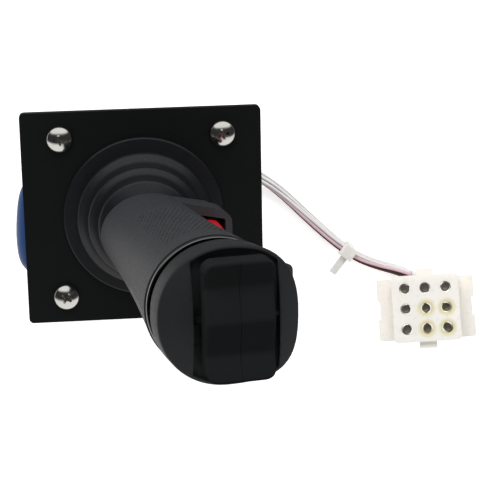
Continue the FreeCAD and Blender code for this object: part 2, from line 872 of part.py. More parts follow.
# The rubber boot snaps into the plate's hole and closes on the rod.
def rounded_outline(points, radii):
    """Edges of a flat outline in the XZ plane whose corners are rounded by tangent arcs; 0 leaves one sharp."""
    edges, last = [], points[0]
    for before, corner, after, radius in zip(points, points[1:], points[2:], radii):
        into, out = (corner - before).normalize(), (after - corner).normalize()
        if radius == 0:
            edges.append(Part.LineSegment(last, corner).toShape())
            last = corner
            continue
        half_turn = into.getAngle(out) / 2
        back = radius * math.tan(half_turn)
        start, end = corner - into * back, corner + out * back
        middle = corner + (out - into).normalize() * (radius / math.cos(half_turn) - radius)
        edges.append(Part.LineSegment(last, start).toShape())
        edges.append(Part.Arc(start, middle, end).toShape())
        last = end
    edges.append(Part.LineSegment(last, points[-1]).toShape())
    return edges


def offset_corner(before, corner, after, distance):
    """The corner of an outline that runs at a distance on the left of the given one."""
    into, out = (corner - before).normalize(), (after - corner).normalize()
    left = Vector(-into.z - out.z, 0, into.x + out.x).normalize()
    return corner + left * (distance / math.cos(into.getAngle(out) / 2))


def boot():
    """A bellows of three folds of even wall, its neck through the plate's hole and its cuff on the rod."""
    base, wall, rim = plate_thickness, boot_wall, boot_flange_radius
    rod_side = rod_radius + boot_hole_gap
    neck_inner = boot_neck_radius - boot_wall - 0.3
    folds = [Vector(boot_foot_radius, 0, base + boot_flange)]
    for (crest, height), (groove, groove_height) in zip(boot_crests, boot_grooves):
        folds += [Vector(crest, 0, base + height), Vector(groove, 0, base + groove_height)]
    bends = [boot_groove_bend]
    for bend in boot_crest_bends:
        bends += [bend, boot_groove_bend]
    top = base + boot_cuff_top
    outside = [Vector(rim, 0, base + boot_flange)] + folds + [Vector(boot_cuff_radius, 0, top)]
    inside = [offset_corner(*outside[k:k + 3], wall) for k in range(len(outside) - 2)]
    inner_bends = []
    for k, bend in enumerate(bends):
        inner_bends.append(bend + wall if k % 2 == 0 else max(bend - wall, boot_least_bend))
    floor_run = (inside[0].z - base - boot_flange) / (inside[1].z - inside[0].z)
    floor_corner = Vector(inside[0].x - (inside[1].x - inside[0].x) * floor_run, 0, base + boot_flange)
    roof_run = (rod_side - inside[-2].x) / (inside[-1].x - inside[-2].x)
    roof = inside[-2] + (inside[-1] - inside[-2]) * roof_run
    edges = rounded_outline([Vector(rim, 0, base)] + outside, [boot_rim_bend] + bends)
    edges += rounded_outline([floor_corner] + inside[1:-1] + [roof], inner_bends[1:-1])
    after = [outside[-1], Vector(rod_side, 0, top), roof]
    before = [
        floor_corner, Vector(neck_inner, 0, base + boot_flange), Vector(neck_inner, 0, -boot_lip),
        Vector(boot_lip_radius, 0, -boot_lip), Vector(boot_lip_radius, 0, 0),
        Vector(boot_neck_radius, 0, 0), Vector(boot_neck_radius, 0, base), Vector(rim, 0, base),
    ]
    for chain in (after, before):
        edges += [Part.LineSegment(a, b).toShape() for a, b in zip(chain, chain[1:])]
    return revolved(edges, Vector(0, 0, 0), Z)


add("boot", boot())


# The rod is threaded into the hub, bends forward above the boot and carries the grip and the wires.
def lever_rod():
    bottom = -pivot_depth + shaft_radius + 2
    bend = Vector(0, 0, bend_height)
    solids = [
        rod(rod_radius, Z * bottom, Z, bend_height - bottom),
        Part.makeSphere(rod_radius, bend),
        on_handle(rod(rod_radius, Vector(0, 0, 0), Z, rod_reach)),
    ]
    bores = [
        rod(rod_bore, Z * bottom, Z, bend_height - bottom),
        Part.makeSphere(rod_bore, bend),
        on_handle(rod(rod_bore, Vector(0, 0, 0), Z, rod_reach)),
        on_handle(block(-window_width / 2, window_width / 2, -rod_radius, 0, window_low, rod_reach)),
        block(0, rod_radius, -window_width / 2, window_width / 2, wire_exit_low, wire_exit_high),
    ]
    return fuse(*solids).cut(fuse(*bores))


add("lever_rod", lever_rod())


# The grip is two moulded shells that meet on the middle plane, with the finger guard at their foot.
def oval(height, size, inset=0.0):
    ellipse = Part.Ellipse(Vector(0, 0, height), size[0] - inset, size[1] - inset)
    return Part.Wire(ellipse.toShape())


def grip_form(inset, bottom, top):
    """The grip's smooth body between two heights, drawn in by an inset."""
    low = oval(grip_bottom, grip_base, inset)
    waist = oval(grip_waist_height, grip_waist, inset)
    high = oval(grip_top, grip_crown, inset)
    form = Part.makeLoft([low, waist, high], True, False)
    return form.common(block(-50, 50, -50, 50, bottom, top))


def guard_form(inset, bottom, top):
    reach, half = guard_reach - inset, guard_half_width - inset
    form = block(0, reach, -half, half, bottom, top)
    return rounded(form, guard_corner - inset, lambda middle, run: along(run, Z) and middle.x > 1)


def hood_form(inset, top):
    """The hood's block, which grows forward towards the cap; its back runs into the grip."""
    half, back = hood_half_width - inset, trigger_back - trigger_hub_radius - trigger_gap
    outline = [(back, hood_low), (hood_reach_low - inset, hood_low), (hood_reach_high - inset, top), (back, top)]
    form = prism([Vector(u, -half, w) for u, w in outline], Vector(0, 2 * half, 0))
    return rounded(form, hood_corner, lambda m, run: m.x > hood_reach_low - inset - 0.5 and abs(run.z) > 5)


def grip_shell():
    outside = grip_form(0, grip_bottom, grip_top)
    outside = rounded(outside, grip_edge, lambda middle, run: abs(middle.z - grip_bottom) < 0.01)
    guard_top = grip_bottom + guard_height
    guard = guard_form(0, grip_bottom, guard_top)
    guard = rounded(guard, 1.0, lambda middle, run: abs(middle.z - grip_bottom) < 0.01 and middle.x > 1)
    shell = fuse(outside, guard, hood_form(0, grip_top))
    hollow = grip_form(grip_wall, grip_bottom + grip_floor, grip_top)
    shell = shell.cut(hollow)
    slot = trigger_half_width + trigger_gap
    pocket_floor = grip_bottom + grip_floor
    pocket = guard_form(guard_wall, pocket_floor, guard_top + 1).common(block(6, 50, -slot, slot, 0, 100))
    shell = shell.cut(pocket)
    shell = shell.cut(block(6, 50, -slot, slot, guard_top, hood_low))
    shell = shell.cut(hood_form(hood_wall, grip_top - hood_roof))
    within = grip_form(grip_wall / 2, grip_bottom, grip_top)
    ribs = []
    for height in rib_heights:
        ribs.append(within.common(block(-50, rod_radius + 1, -50, 50, height, height + rib_thickness)))
    shell = fuse(shell, *ribs)
    shell = shell.cut(rod(rod_radius, Vector(0, 0, 0), Z, rod_reach))
    return shell.cut(rod(trigger_pin_radius, trigger_pin_start(), Y, trigger_pin_length()))


def trigger_pin_length():
    return 2 * (hood_half_width + 1.4)


def trigger_pin_start():
    return Vector(trigger_pin_forward, -trigger_pin_length() / 2, trigger_pin_height)


def switch_screw_places():
    low, high = switch_low + switch_screw_inset, switch_low + switch_length - switch_screw_inset
    return [Vector(-switch_screw_back, 0, low), Vector(-switch_screw_back, 0, high)]


def grip_half(side):
    """One shell: side is +1 for the left one, which takes the screws, and -1 for the right one."""
    within = grip_form(grip_wall / 2, grip_bottom, grip_top)
    half = grip_shell().common(block(-50, 50, min(0, side * 50), max(0, side * 50), 0, 100))
    bosses, holes = [], []
    for height, back, seat in grip_screw_places:
        start = Vector(back, 0, height)
        if side > 0:
            bosses.append(rod(grip_boss_radius, start, Y, 50).common(within))
            holes.append(rod(grip_screw_radius, start, Y, grip_screw_reach))
        else:
            bosses.append(rod(grip_seat_radius, start, -Y, 50).common(within))
            holes.append(rod(grip_screw_radius + 0.2, start, -Y, 50))
            holes.append(rod(grip_screw_head + 0.3, start - Y * seat, -Y, 50))
    if side > 0:
        for place in switch_screw_places():
            start = place + Y * switch_width / 2
            bosses.append(rod(switch_screw_radius + switch_boss_wall, start, Y, 50).common(within))
            holes.append(rod(switch_screw_radius, start, Y, switch_screw_reach + 0.5))
    half = fuse(half, *bosses)
    for hole in holes:
        half = half.cut(hole)
    return half


def grip_screw(height, back, seat):
    start = Vector(back, -seat, height)
    head = rod(grip_screw_head, start, -Y, grip_screw_head_height)
    head = rounded(head, 0.6, lambda middle, run: middle.y < -seat - grip_screw_head_height + 0.01)
    return fuse(head, rod(grip_screw_radius, start, Y, seat + grip_screw_reach - 0.5))


add("grip_left", on_handle(grip_half(1)))
add("grip_right", on_handle(grip_half(-1)))
add("grip_screws", [on_handle(grip_screw(*place)) for place in grip_screw_places])


# The trigger hangs from a pin near the top of the grip, with its foot behind the finger guard.
def trigger_outline():
    low, high, face = trigger_low, trigger_high, trigger_face
    foot = [(face + 1.1, low), (face + 1.0, low + 9)]
    return foot + [(face + 0.1, 30), (face, 44), (face + 0.8, 54), (hood_reach_low - 0.2, high)]


def trigger():
    half, back, neck_half = trigger_half_width, trigger_back, trigger_neck_half
    outer = [Vector(u, -half, w) for u, w in trigger_outline()]
    face = smooth(outer).toShape()
    foot = Vector(back + 2.2, -half, trigger_low)
    heel = Vector(back, -half, trigger_low + 3)
    neck = Vector(back, -half, trigger_high)
    corners = [outer[-1], neck, heel, foot, outer[0]]
    sides = [Part.LineSegment(a, b).toShape() for a, b in zip(corners, corners[1:])]
    body = Part.Face(Part.Wire(Part.__sortEdges__([face] + sides))).extrude(Y * 2 * half)
    front = trigger_face - 0.6

    def front_edges(middle, run):
        long_enough = abs(run.z) > (trigger_high - trigger_low) / 3
        return abs(abs(middle.y) - half) < 0.01 and middle.x > front and long_enough

    body = rounded(body, trigger_edge, front_edges)
    neck_front = hood_reach_low - hood_wall - 0.6
    arm = block(back, neck_front, -neck_half, neck_half, trigger_high - 8, trigger_neck_top)
    hub = rod(trigger_hub_radius, trigger_pin_axis() - Y * neck_half, Y, 2 * neck_half)
    floor = trigger_face - trigger_wall
    side = trigger_wall - half
    pocket = block(back - 1, floor, side, -side, trigger_low + 6, trigger_high - 10)
    nub_start = Vector(switch_front + plunger_proud + plunger_gap, 0, trigger_press_height)
    nub = rod(trigger_nub_radius, nub_start, X, floor + 0.5 - nub_start.x)
    body = fuse(body.cut(pocket), arm, hub, nub)
    return body.cut(rod(trigger_pin_radius + running_gap, trigger_pin_axis() - Y * half, Y, 2 * half))


def trigger_pin_axis():
    return Vector(trigger_pin_forward, 0, trigger_pin_height)


def switch_plunger():
    start = Vector(switch_front - plunger_depth, 0, trigger_press_height)
    pin = rod(plunger_radius, start, X, plunger_depth + plunger_proud)
    tip = switch_front + plunger_proud
    return rounded(pin, 0.5, lambda middle, run: middle.x > tip - 0.01)


def trigger_switch():
    half, low = switch_width / 2, switch_low
    body = block(switch_front - switch_height, switch_front, -half, half, low, low + switch_length)
    body = rounded(body, 0.6, lambda middle, run: along(run, Y))
    bore = rod(plunger_radius + running_gap, Vector(switch_front - 3.2, 0, trigger_press_height), X, 5)
    body = body.cut(bore)
    for place in switch_screw_places():
        body = body.cut(rod(switch_screw_radius + 0.05, place - Y * half, Y, switch_width))
    return body


def switch_screw(place):
    half = switch_width / 2
    head = rod(switch_screw_head, place - Y * half, -Y, switch_screw_head_height)
    return fuse(head, rod(switch_screw_radius, place - Y * half, Y, switch_width + switch_screw_reach))


def trigger_spring():
    """Compression spring between the rod and the back of the trigger."""
    start = rod_radius + trigger_spring_wire + 0.2
    end = trigger_face - trigger_wall - trigger_spring_wire - 0.2
    pitch = (end - start) / trigger_spring_turns
    place = Vector(start, 0, trigger_spring_height)
    return coil(trigger_spring_radius, trigger_spring_wire, pitch, trigger_spring_turns, place, X)


add("trigger", on_handle(trigger()))
add("trigger_pin", on_handle(rod(trigger_pin_radius, trigger_pin_start(), Y, trigger_pin_length())))
add("trigger_switch", on_handle(trigger_switch()))
add("switch_plunger", on_handle(switch_plunger()))
add("switch_screws", [on_handle(switch_screw(place)) for place in switch_screw_places()])
add("trigger_spring", on_handle(trigger_spring()))


# A thin ring parts the grip from the cap, which is open across its top for the thumb rocker.
cap_bottom = grip_top + 2 * ring_gap + ring_height
cavity_top = channel_floor - cap_floor


def cap_housing():
    middle = (cap_bottom + cap_top) / 2
    corner = cap_edge * (1 - math.sqrt(0.5))
    side = Part.Arc(
        Vector(cap_radius, 0, cap_bottom), Vector(cap_radius + cap_bulge, 0, middle),
        Vector(cap_radius, 0, cap_top - cap_edge),
    )
    edge = Part.Arc(
        Vector(cap_radius, 0, cap_top - cap_edge), Vector(cap_radius - corner, 0, cap_top - corner),
        Vector(cap_radius - cap_edge, 0, cap_top),
    )
    lid = Part.LineSegment(Vector(cap_radius - cap_edge, 0, cap_top), Vector(0, 0, cap_top))
    spine = Part.LineSegment(Vector(0, 0, cap_top), Vector(0, 0, cap_bottom))
    base = Part.LineSegment(Vector(0, 0, cap_bottom), Vector(cap_radius, 0, cap_bottom))
    body = revolved([e.toShape() for e in (side, edge, lid, spine, base)], Vector(0, 0, 0), Z)
    spigot_bottom = cap_bottom - spigot_depth
    body = fuse(body, rod(spigot_radius, Vector(0, 0, spigot_bottom), Z, spigot_depth))
    body = body.cut(rod(spigot_radius - spigot_wall, Vector(0, 0, spigot_bottom), Z, cavity_top - spigot_bottom))
    half = channel_width / 2
    end = channel_half_length
    channel = block(rocker_middle - half, rocker_middle + half, -end, end, channel_floor, cap_top + 5)
    channel = rounded(channel, channel_bend, lambda m, run: along(run, Y) and abs(m.z - channel_floor) < 0.01)
    body = body.cut(channel)
    lug_half, lug_side = rocker_lug_width / 2 + slot_side_gap, rocker_lug_radius + 1.4
    well = block(
        rocker_middle - lug_half, rocker_middle + lug_half, -lug_side, lug_side, cavity_top, channel_floor
    )
    return body.cut(well).cut(rocker_pin())


def rocker_pin():
    length = channel_width + 3.0
    start = Vector(rocker_middle - length / 2, 0, rocker_pin_height)
    return rod(rocker_pin_radius, start, X, length)


def rocker():
    half_u, half_v = rocker_width / 2, rocker_length / 2
    skirt, crown = rocker_skirt, rocker_crown
    valley, ridge = crown - rocker_valley_drop, crown - rocker_ridge_drop
    left = rocker_middle - half_u
    profile = [
        (-half_v, skirt), (half_v, skirt), (half_v, crown), (rocker_valley_place, valley), (0, ridge),
        (-rocker_valley_place, valley), (-half_v, crown),
    ]
    body = prism([Vector(left, v, w) for v, w in profile], Vector(rocker_width, 0, 0))
    body = rounded(body, rocker_corner, lambda m, run: along(run, X) and skirt + 1 < m.z < crown - 0.1)

    body = rounded(body, rocker_plan_corner, lambda m, run: m.z > skirt + 0.1 and along(run, Z))
    body = rounded(body, rocker_edge, lambda m, run: m.z > crown - 1 and abs(abs(m.y) - half_v) < 0.01)
    wall = rocker_wall
    pocket = block(
        left + wall, left + rocker_width - wall, wall - half_v, half_v - wall, skirt, skirt + wall
    )
    lug_half, lug = rocker_lug_width / 2, rocker_lug_radius
    lugs = fuse(
        rod(lug, Vector(rocker_middle - lug_half, 0, rocker_pin_height), X, rocker_lug_width),
        block(rocker_middle - lug_half, rocker_middle + lug_half, -lug, lug, rocker_pin_height, skirt + wall + 0.5),
    )
    body = fuse(body.cut(pocket), lugs)
    bore_start = Vector(left - 1, 0, rocker_pin_height)
    return body.cut(rod(rocker_pin_radius + running_gap, bore_start, X, rocker_width + 2))


def rocker_stem():
    """Blade under the rocker that works the switch; it is seated in the lug."""
    half_u, half_v = stem_width / 2, stem_thickness / 2
    top = rocker_pin_height - rocker_lug_radius
    bottom = rocker_pin_height - stem_reach
    return block(rocker_middle - half_u, rocker_middle + half_u, -half_v, half_v, bottom, top + 0.2)


def rocker_switch():
    half_u, half_v = rocker_switch_width / 2, rocker_switch_length / 2
    bottom = cavity_top - rocker_switch_height
    body = block(rocker_middle - half_u, rocker_middle + half_u, -half_v, half_v, bottom, cavity_top)
    body = rounded(body, 0.8, lambda m, run: along(run, Z))
    slot_u, slot_v = stem_width / 2 + slot_side_gap, stem_thickness / 2 + 1.9
    slot = block(rocker_middle - slot_u, rocker_middle + slot_u, -slot_v, slot_v, bottom + 2.5, cavity_top)
    return body.cut(slot)


ring_inner = spigot_radius + 0.2
ring = tube(ring_radius, ring_inner, Vector(0, 0, grip_top + ring_gap), Z, ring_height)
add("collar_ring", on_handle(ring))
add("cap_housing", on_handle(cap_housing()))
add("rocker_pin", on_handle(rocker_pin()))
add("rocker", on_handle(rocker().cut(rocker_stem())))
add("rocker_stem", on_handle(rocker_stem()))
add("rocker_switch", on_handle(rocker_switch()))


# Wires run from the switches down inside the rod, and from the sensor to the clamp on the frame.
def handle_point(point):
    return handle_place.multVec(Vector(*point))


def report_cord(name, solid, length, radii, radius):
    wanted = math.pi * radius ** 2 * length
    bends = ", ".join("%.1f" % bend for bend in radii)
    print("%s: %.1f mm long, bend radii %s, volume %.1f of %.1f" % (name, length, bends, solid.Volume, wanted))


wire_exit = Vector(rod_radius + 0.4, 0, -0.6)
wire_route = [wire_exit, Vector(0.9, 0, 2.6), Vector(0, 0, 10.0), Vector(0, 0.02, bend_height)]
wire_route += [handle_point((0, 0, window_low + 1))] + [handle_point(point) for point in handle_route]
solid, length, radii = cord(wire_route, handle_wire_radius)
report_cord("handle_wires", solid, length, radii, handle_wire_radius)
add("handle_wires", solid)

# Both leads enter the back of a shrink sleeve side by side, and the harness leaves its front.
clamp = clamp_middle()
sleeve_back = Vector(clamp.x - sleeve_length / 2, clamp.y, clamp.z)
sleeve_front = Vector(clamp.x + sleeve_length / 2, clamp.y, clamp.z)
handle_side = Y * (sleeve_radius - handle_wire_radius)
sensor_side = Y * (sensor_lead_radius - sleeve_radius)
add("loom_sleeve", rod(sleeve_radius, sleeve_back, X, sleeve_length))

handle_lead_end = sleeve_back + handle_side
handle_lead_route = [
    wire_exit, wire_exit + Vector(5.6, 0, -5.12), Vector(13.6, 2.4, -13.0), Vector(13.6, 5.2, -21.0),
    Vector(11.6, 7.2, -27.6), Vector(12.6, handle_lead_end.y, handle_lead_end.z), handle_lead_end,
]
solid, length, radii = cord(handle_lead_route, handle_wire_radius)
report_cord("handle_lead", solid, length, radii, handle_wire_radius)
add("handle_lead", solid)

sensor_lead_end = sleeve_back + sensor_side
sensor_lead_route = [
    Vector(sensor_x + 1.4, -9.0, -32.6), Vector(-21.5, -8.2, -32.9), Vector(-14.5, 1.4, -33.2),
    Vector(-5.0, 5.9, -33.6), Vector(4.0, 4.6, -33.2), Vector(10.5, sensor_lead_end.y, sensor_lead_end.z),
    sensor_lead_end,
]
solid, length, radii = cord(sensor_lead_route, sensor_lead_radius)
report_cord("sensor_lead", solid, length, radii, sensor_lead_radius)
add("sensor_lead", solid)


def cable_clamp():
    ring = rod(sleeve_radius + clamp_wall, clamp - X * clamp_width / 2, X, clamp_width)
    foot_end = clamp_screw_place().y - clamp_screw_head - 0.6
    tab_top = floor_z + frame_sheet
    half = clamp_width / 2
    foot = block(clamp.x - half, clamp.x + half, foot_end, clamp.y, tab_top, tab_top + clamp_foot)
    body = fuse(ring, foot).cut(rod(sleeve_radius, clamp - X * clamp_width, X, 2 * clamp_width))
    return body.cut(rod(clamp_screw_radius + 0.1, clamp_screw_place(), Z, clamp_foot))


def clamp_screw():
    start = clamp_screw_place()
    head = rod(clamp_screw_head, start + Z * clamp_foot, Z, clamp_screw_head_height)
    top = start.z + clamp_foot + clamp_screw_head_height
    head = rounded(head, 0.8, lambda m, run: m.z > top - 0.01)
    return fuse(head, rod(clamp_screw_radius, start - Z * frame_sheet, Z, frame_sheet + clamp_foot))


add("cable_clamp", cable_clamp())
add("clamp_screw", clamp_screw())


# The harness leaves the clamp, lies on the surface below and rises into the back of the connector.
connector_axis = Vector(-0.198, 0.288, 0.937).normalize()
connector_back = Vector(97.3, -44.6, -28.5)
harness_route = [
    sleeve_front, Vector(33.5, clamp.y, clamp.z), Vector(40.5, 3.3, -33.8), Vector(48.2, -2.9, -35.4),
    Vector(57.5, -12.4, -35.9), Vector(66.9, -21.4, -35.0), Vector(74.2, -27.0, -35.0),
    Vector(81.5, -30.3, -35.8), Vector(87.6, -32.2, -35.9), Vector(92.6, -34.3, -35.9),
    Vector(96.0, -37.1, -35.9), Vector(97.9, -40.2, -35.8), Vector(98.7, -43.0, -34.8),
    Vector(98.6, -44.9, -32.9), Vector(97.78, -45.29, -30.75), connector_back,
]
solid, length, radii = cord(harness_route, harness_radius)
report_cord("harness", solid, length, radii, harness_radius)
add("harness", solid)


def cable_tie():
    """Tie round the harness, in the middle of a run, with its ratchet head on top."""
    start, end = harness_route[5], harness_route[6]
    run = (end - start).normalize()
    middle = (start + end) / 2
    ring = tube(harness_radius + tie_wall, harness_radius, Vector(0, 0, -tie_width / 2), Z, tie_width)
    head_low = harness_radius + 0.2
    wide, long = tie_head_width / 2, tie_head_length / 2
    head = block(-wide, wide, head_low, head_low + tie_head_height, -long, long)
    head = head.cut(rod(harness_radius, Vector(0, 0, -long), Z, 2 * long))
    strip = tie_width / 2 - 0.1
    tail = block(-tie_tail_reach, 0.1 - wide, head_low + 1.0, head_low + 1.0 + tie_wall, -strip, strip)
    turn = Rotation(Vector(-run.y, run.x, 0), Vector(0, 0, 0), run, "ZXY")
    return placed(fuse(ring, head, tail), Placement(middle, turn))


add("cable_tie", cable_tie())

across = Vector(1, 0.013, 0)
across = (across - connector_axis * across.dot(connector_axis)).normalize()
connector_place = Placement(connector_back, Rotation(across, Vector(0, 0, 0), connector_axis, "ZXY"))


def pin_places():
    middle = (pin_ways - 1) / 2
    return [(pin_pitch * (i - middle), pin_pitch * (j - middle)) for i in range(pin_ways) for j in range(pin_ways)]


def connector_housing():
    half, length = connector_side / 2, connector_length
    body = block(-half, half, -half, half, 0, length)
    body = rounded(body, connector_corner, lambda m, run: along(run, Z))
    top = length - ear_set_back
    parts = []
    for side in (-1, 1):
        x0, x1 = sorted((side * (half - 0.5), side * (half + ear_reach)))
        ear = block(x0, x1, -ear_height / 2, ear_height / 2, top - ear_thickness, top)
        ear = rounded(ear, 1.0, lambda m, run: along(run, Z) and abs(m.x) > half)
        n0, n1 = sorted((side * (half + ear_reach - ear_notch_depth), side * (half + ear_reach + 1)))
        parts.append(ear.cut(block(n0, n1, -ear_notch / 2, ear_notch / 2, top - ear_thickness, top)))
        y0, y1 = sorted((side * (half - 0.5), side * (half + tab_rise)))
        parts.append(block(-tab_width / 2, tab_width / 2, y0, y1, length - tab_run, length - tab_set_back))
    body = fuse(body, *parts)
    for x, y in pin_places():
        body = body.cut(rod(connector_hole_radius, Vector(x, y, connector_rear_depth), Z, length))
        body = body.cut(rod(connector_rear_hole, Vector(x, y, 0), Z, connector_rear_depth))
    return body


def contacts():
    top = connector_length - contact_set_back
    low = top - contact_length
    return [tube(contact_radius, contact_bore, Vector(x, y, low), Z, contact_length) for x, y in pin_places()]


add("connector_housing", placed(connector_housing(), connector_place))
add("connector_contacts", [placed(contact, connector_place) for contact in contacts()])

for name, shape in nodes.items():
    shape.exportStep("parts/" + name + ".step")
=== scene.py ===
"""The looks of a single-axis panel joystick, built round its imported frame.

Lengths are metres, written as millimetres times mm. The handle leans forward, towards +X, and the harness
lies on the surface below the face plate.
"""
import json
import math

import bmesh
import bpy
from mathutils import Matrix, Vector
from mathutils.bvhtree import BVHTree


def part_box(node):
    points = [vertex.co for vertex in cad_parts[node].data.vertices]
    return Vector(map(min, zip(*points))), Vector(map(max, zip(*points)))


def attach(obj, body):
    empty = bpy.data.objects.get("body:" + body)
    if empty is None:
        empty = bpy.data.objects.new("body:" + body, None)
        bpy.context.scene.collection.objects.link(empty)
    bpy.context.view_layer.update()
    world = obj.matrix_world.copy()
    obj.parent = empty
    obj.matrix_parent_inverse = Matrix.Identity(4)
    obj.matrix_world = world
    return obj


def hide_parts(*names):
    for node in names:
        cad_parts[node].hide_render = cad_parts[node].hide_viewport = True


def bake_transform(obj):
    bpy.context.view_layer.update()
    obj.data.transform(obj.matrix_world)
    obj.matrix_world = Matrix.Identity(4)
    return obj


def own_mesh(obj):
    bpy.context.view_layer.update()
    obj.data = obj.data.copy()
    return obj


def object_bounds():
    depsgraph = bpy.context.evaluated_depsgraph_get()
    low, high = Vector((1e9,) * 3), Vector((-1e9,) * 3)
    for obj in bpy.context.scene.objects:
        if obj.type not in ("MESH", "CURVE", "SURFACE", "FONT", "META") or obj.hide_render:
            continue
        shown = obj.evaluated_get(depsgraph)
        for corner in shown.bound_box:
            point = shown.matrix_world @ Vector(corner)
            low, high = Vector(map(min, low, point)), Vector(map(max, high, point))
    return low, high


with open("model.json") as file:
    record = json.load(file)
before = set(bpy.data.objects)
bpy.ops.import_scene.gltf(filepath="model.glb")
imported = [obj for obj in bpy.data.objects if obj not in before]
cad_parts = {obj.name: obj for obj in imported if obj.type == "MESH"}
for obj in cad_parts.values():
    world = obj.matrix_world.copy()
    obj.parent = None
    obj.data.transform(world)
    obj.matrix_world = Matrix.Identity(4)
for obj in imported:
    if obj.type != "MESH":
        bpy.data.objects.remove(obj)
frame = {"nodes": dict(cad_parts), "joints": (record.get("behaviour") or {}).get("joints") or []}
nodes = frame["nodes"]
joints = {joint["name"]: joint for joint in frame["joints"]}
cad_low, cad_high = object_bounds()
scene = bpy.context.scene
scene.view_settings.view_transform = "Standard"
mm = 0.001


# The view looks down on the top of the handle from the operator's side, over a plain pale floor.
# Soft boxes stand round it, and what it mirrors is a pale room with one broad dark band.
def linked(name, data):
    """A new object in the scene that holds some data."""
    made = bpy.data.objects.new(name, data)
    scene.collection.objects.link(made)
    return made


def placed(origin, *axes):
    """The matrix that takes a piece's own axes to three directions from a place."""
    return Matrix.Translation(origin) @ Matrix(axes).transposed().to_4x4()


def add_node(tree, kind, inputs=None, **settings):
    """A new node in a tree; each input takes a value or another node's socket."""
    made = tree.nodes.new(kind)
    for key, value in settings.items():
        setattr(made, key, value)
    for key, value in (inputs or {}).items():
        if isinstance(value, bpy.types.NodeSocket):
            tree.links.new(value, made.inputs[key])
        else:
            made.inputs[key].default_value = value
    return made


eye = Vector((-0.01951, 0.12495, 0.52432))
ahead = Vector((0.0976, -0.2542, -0.9622)).normalized()
upward = Vector((0.0442, 0.967, -0.2509))
rightward = ahead.cross(upward).normalized()
upward = rightward.cross(ahead)
camera = linked("camera", bpy.data.cameras.new("camera"))
camera.data.sensor_width = 36
camera.data.lens = 122.3
camera.data.clip_start = 0.02
camera.matrix_world = placed(eye, rightward, upward, -ahead)
scene.camera = camera

floor_half = 1.5
floor_level = cad_low.z - 0.02 * mm
floor_corners = [(-1, -1), (1, -1), (1, 1), (-1, 1)]
floor_mesh = bpy.data.meshes.new("floor")
floor_mesh.from_pydata(
    [(x * floor_half, y * floor_half, floor_level) for x, y in floor_corners], [], [(0, 1, 2, 3)]
)
floor = linked("floor", floor_mesh)
pale_floor = bpy.data.materials.new("pale_floor")
pale_floor.use_nodes = True
tree = pale_floor.node_tree
tree.nodes.clear()
ray = add_node(tree, "ShaderNodeLightPath")
seen = add_node(tree, "ShaderNodeMath", {
    0: ray.outputs["Is Camera Ray"], 1: ray.outputs["Is Transmission Ray"],
}, operation="MAXIMUM")
glow = add_node(tree, "ShaderNodeEmission", {"Color": (1, 1, 1, 1), "Strength": 0.66})
matt = add_node(tree, "ShaderNodeBsdfDiffuse", {"Color": (0.9, 0.9, 0.9, 1)})
both = add_node(tree, "ShaderNodeAddShader", {0: glow.outputs[0], 1: matt.outputs[0]})
place = add_node(tree, "ShaderNodeTexCoord")
side = add_node(tree, "ShaderNodeVectorMath", {
    0: place.outputs["Object"], 1: (0.5, 0.86, 0),
}, operation="DOT_PRODUCT")
sheen = add_node(tree, "ShaderNodeMapRange", {
    "Value": side.outputs["Value"], "From Min": -0.06, "From Max": 0.05, "To Min": 0.85, "To Max": 0.16,
}, interpolation_type="SMOOTHSTEP")
mirrored = add_node(tree, "ShaderNodeEmission", {"Color": (1, 0.985, 0.96, 1), "Strength": sheen.outputs[0]})
plain = add_node(tree, "ShaderNodeMixShader", {0: seen.outputs[0], 1: matt.outputs[0], 2: both.outputs[0]})
whole = add_node(tree, "ShaderNodeMixShader", {
    0: ray.outputs["Is Glossy Ray"], 1: plain.outputs[0], 2: mirrored.outputs[0],
})
add_node(tree, "ShaderNodeOutputMaterial", {"Surface": whole.outputs[0]})
floor_mesh.materials.append(pale_floor)

band_axis = Vector((0, 0.967, 0.255)).normalized()
band_rise, band_half, band_edge = 0.20, 0.30, 0.52
band_level, room_level, light_level = 0.03, 0.85, 0.17
world = bpy.data.worlds.new("studio")
world.use_nodes = True
scene.world = world
tree = world.node_tree
tree.nodes.clear()
ray = add_node(tree, "ShaderNodeLightPath")
direction = add_node(tree, "ShaderNodeTexCoord")
height = add_node(tree, "ShaderNodeVectorMath", {
    0: direction.outputs["Generated"], 1: band_axis,
}, operation="DOT_PRODUCT")
above = add_node(tree, "ShaderNodeMath", {0: height.outputs["Value"], 1: band_rise}, operation="SUBTRACT")
off_band = add_node(tree, "ShaderNodeMath", {0: above.outputs[0]}, operation="ABSOLUTE")
room = add_node(tree, "ShaderNodeMapRange", {
    "Value": off_band.outputs[0], "From Min": band_half, "From Max": band_edge,
    "To Min": band_level, "To Max": room_level,
}, interpolation_type="SMOOTHSTEP")
clear = add_node(tree, "ShaderNodeMath", {
    0: ray.outputs["Is Glossy Ray"], 1: ray.outputs["Is Transmission Ray"],
}, operation="MAXIMUM")
dim = add_node(tree, "ShaderNodeMix", {"Factor": clear.outputs[0], "A": light_level, "B": room.outputs[0]})
level = add_node(tree, "ShaderNodeMix", {
    "Factor": ray.outputs["Is Camera Ray"], "A": dim.outputs[0], "B": 1.0,
})
sky = add_node(tree, "ShaderNodeBackground", {"Color": (1, 1, 1, 1), "Strength": level.outputs[0]})
add_node(tree, "ShaderNodeOutputWorld", {"Surface": sky.outputs[0]})

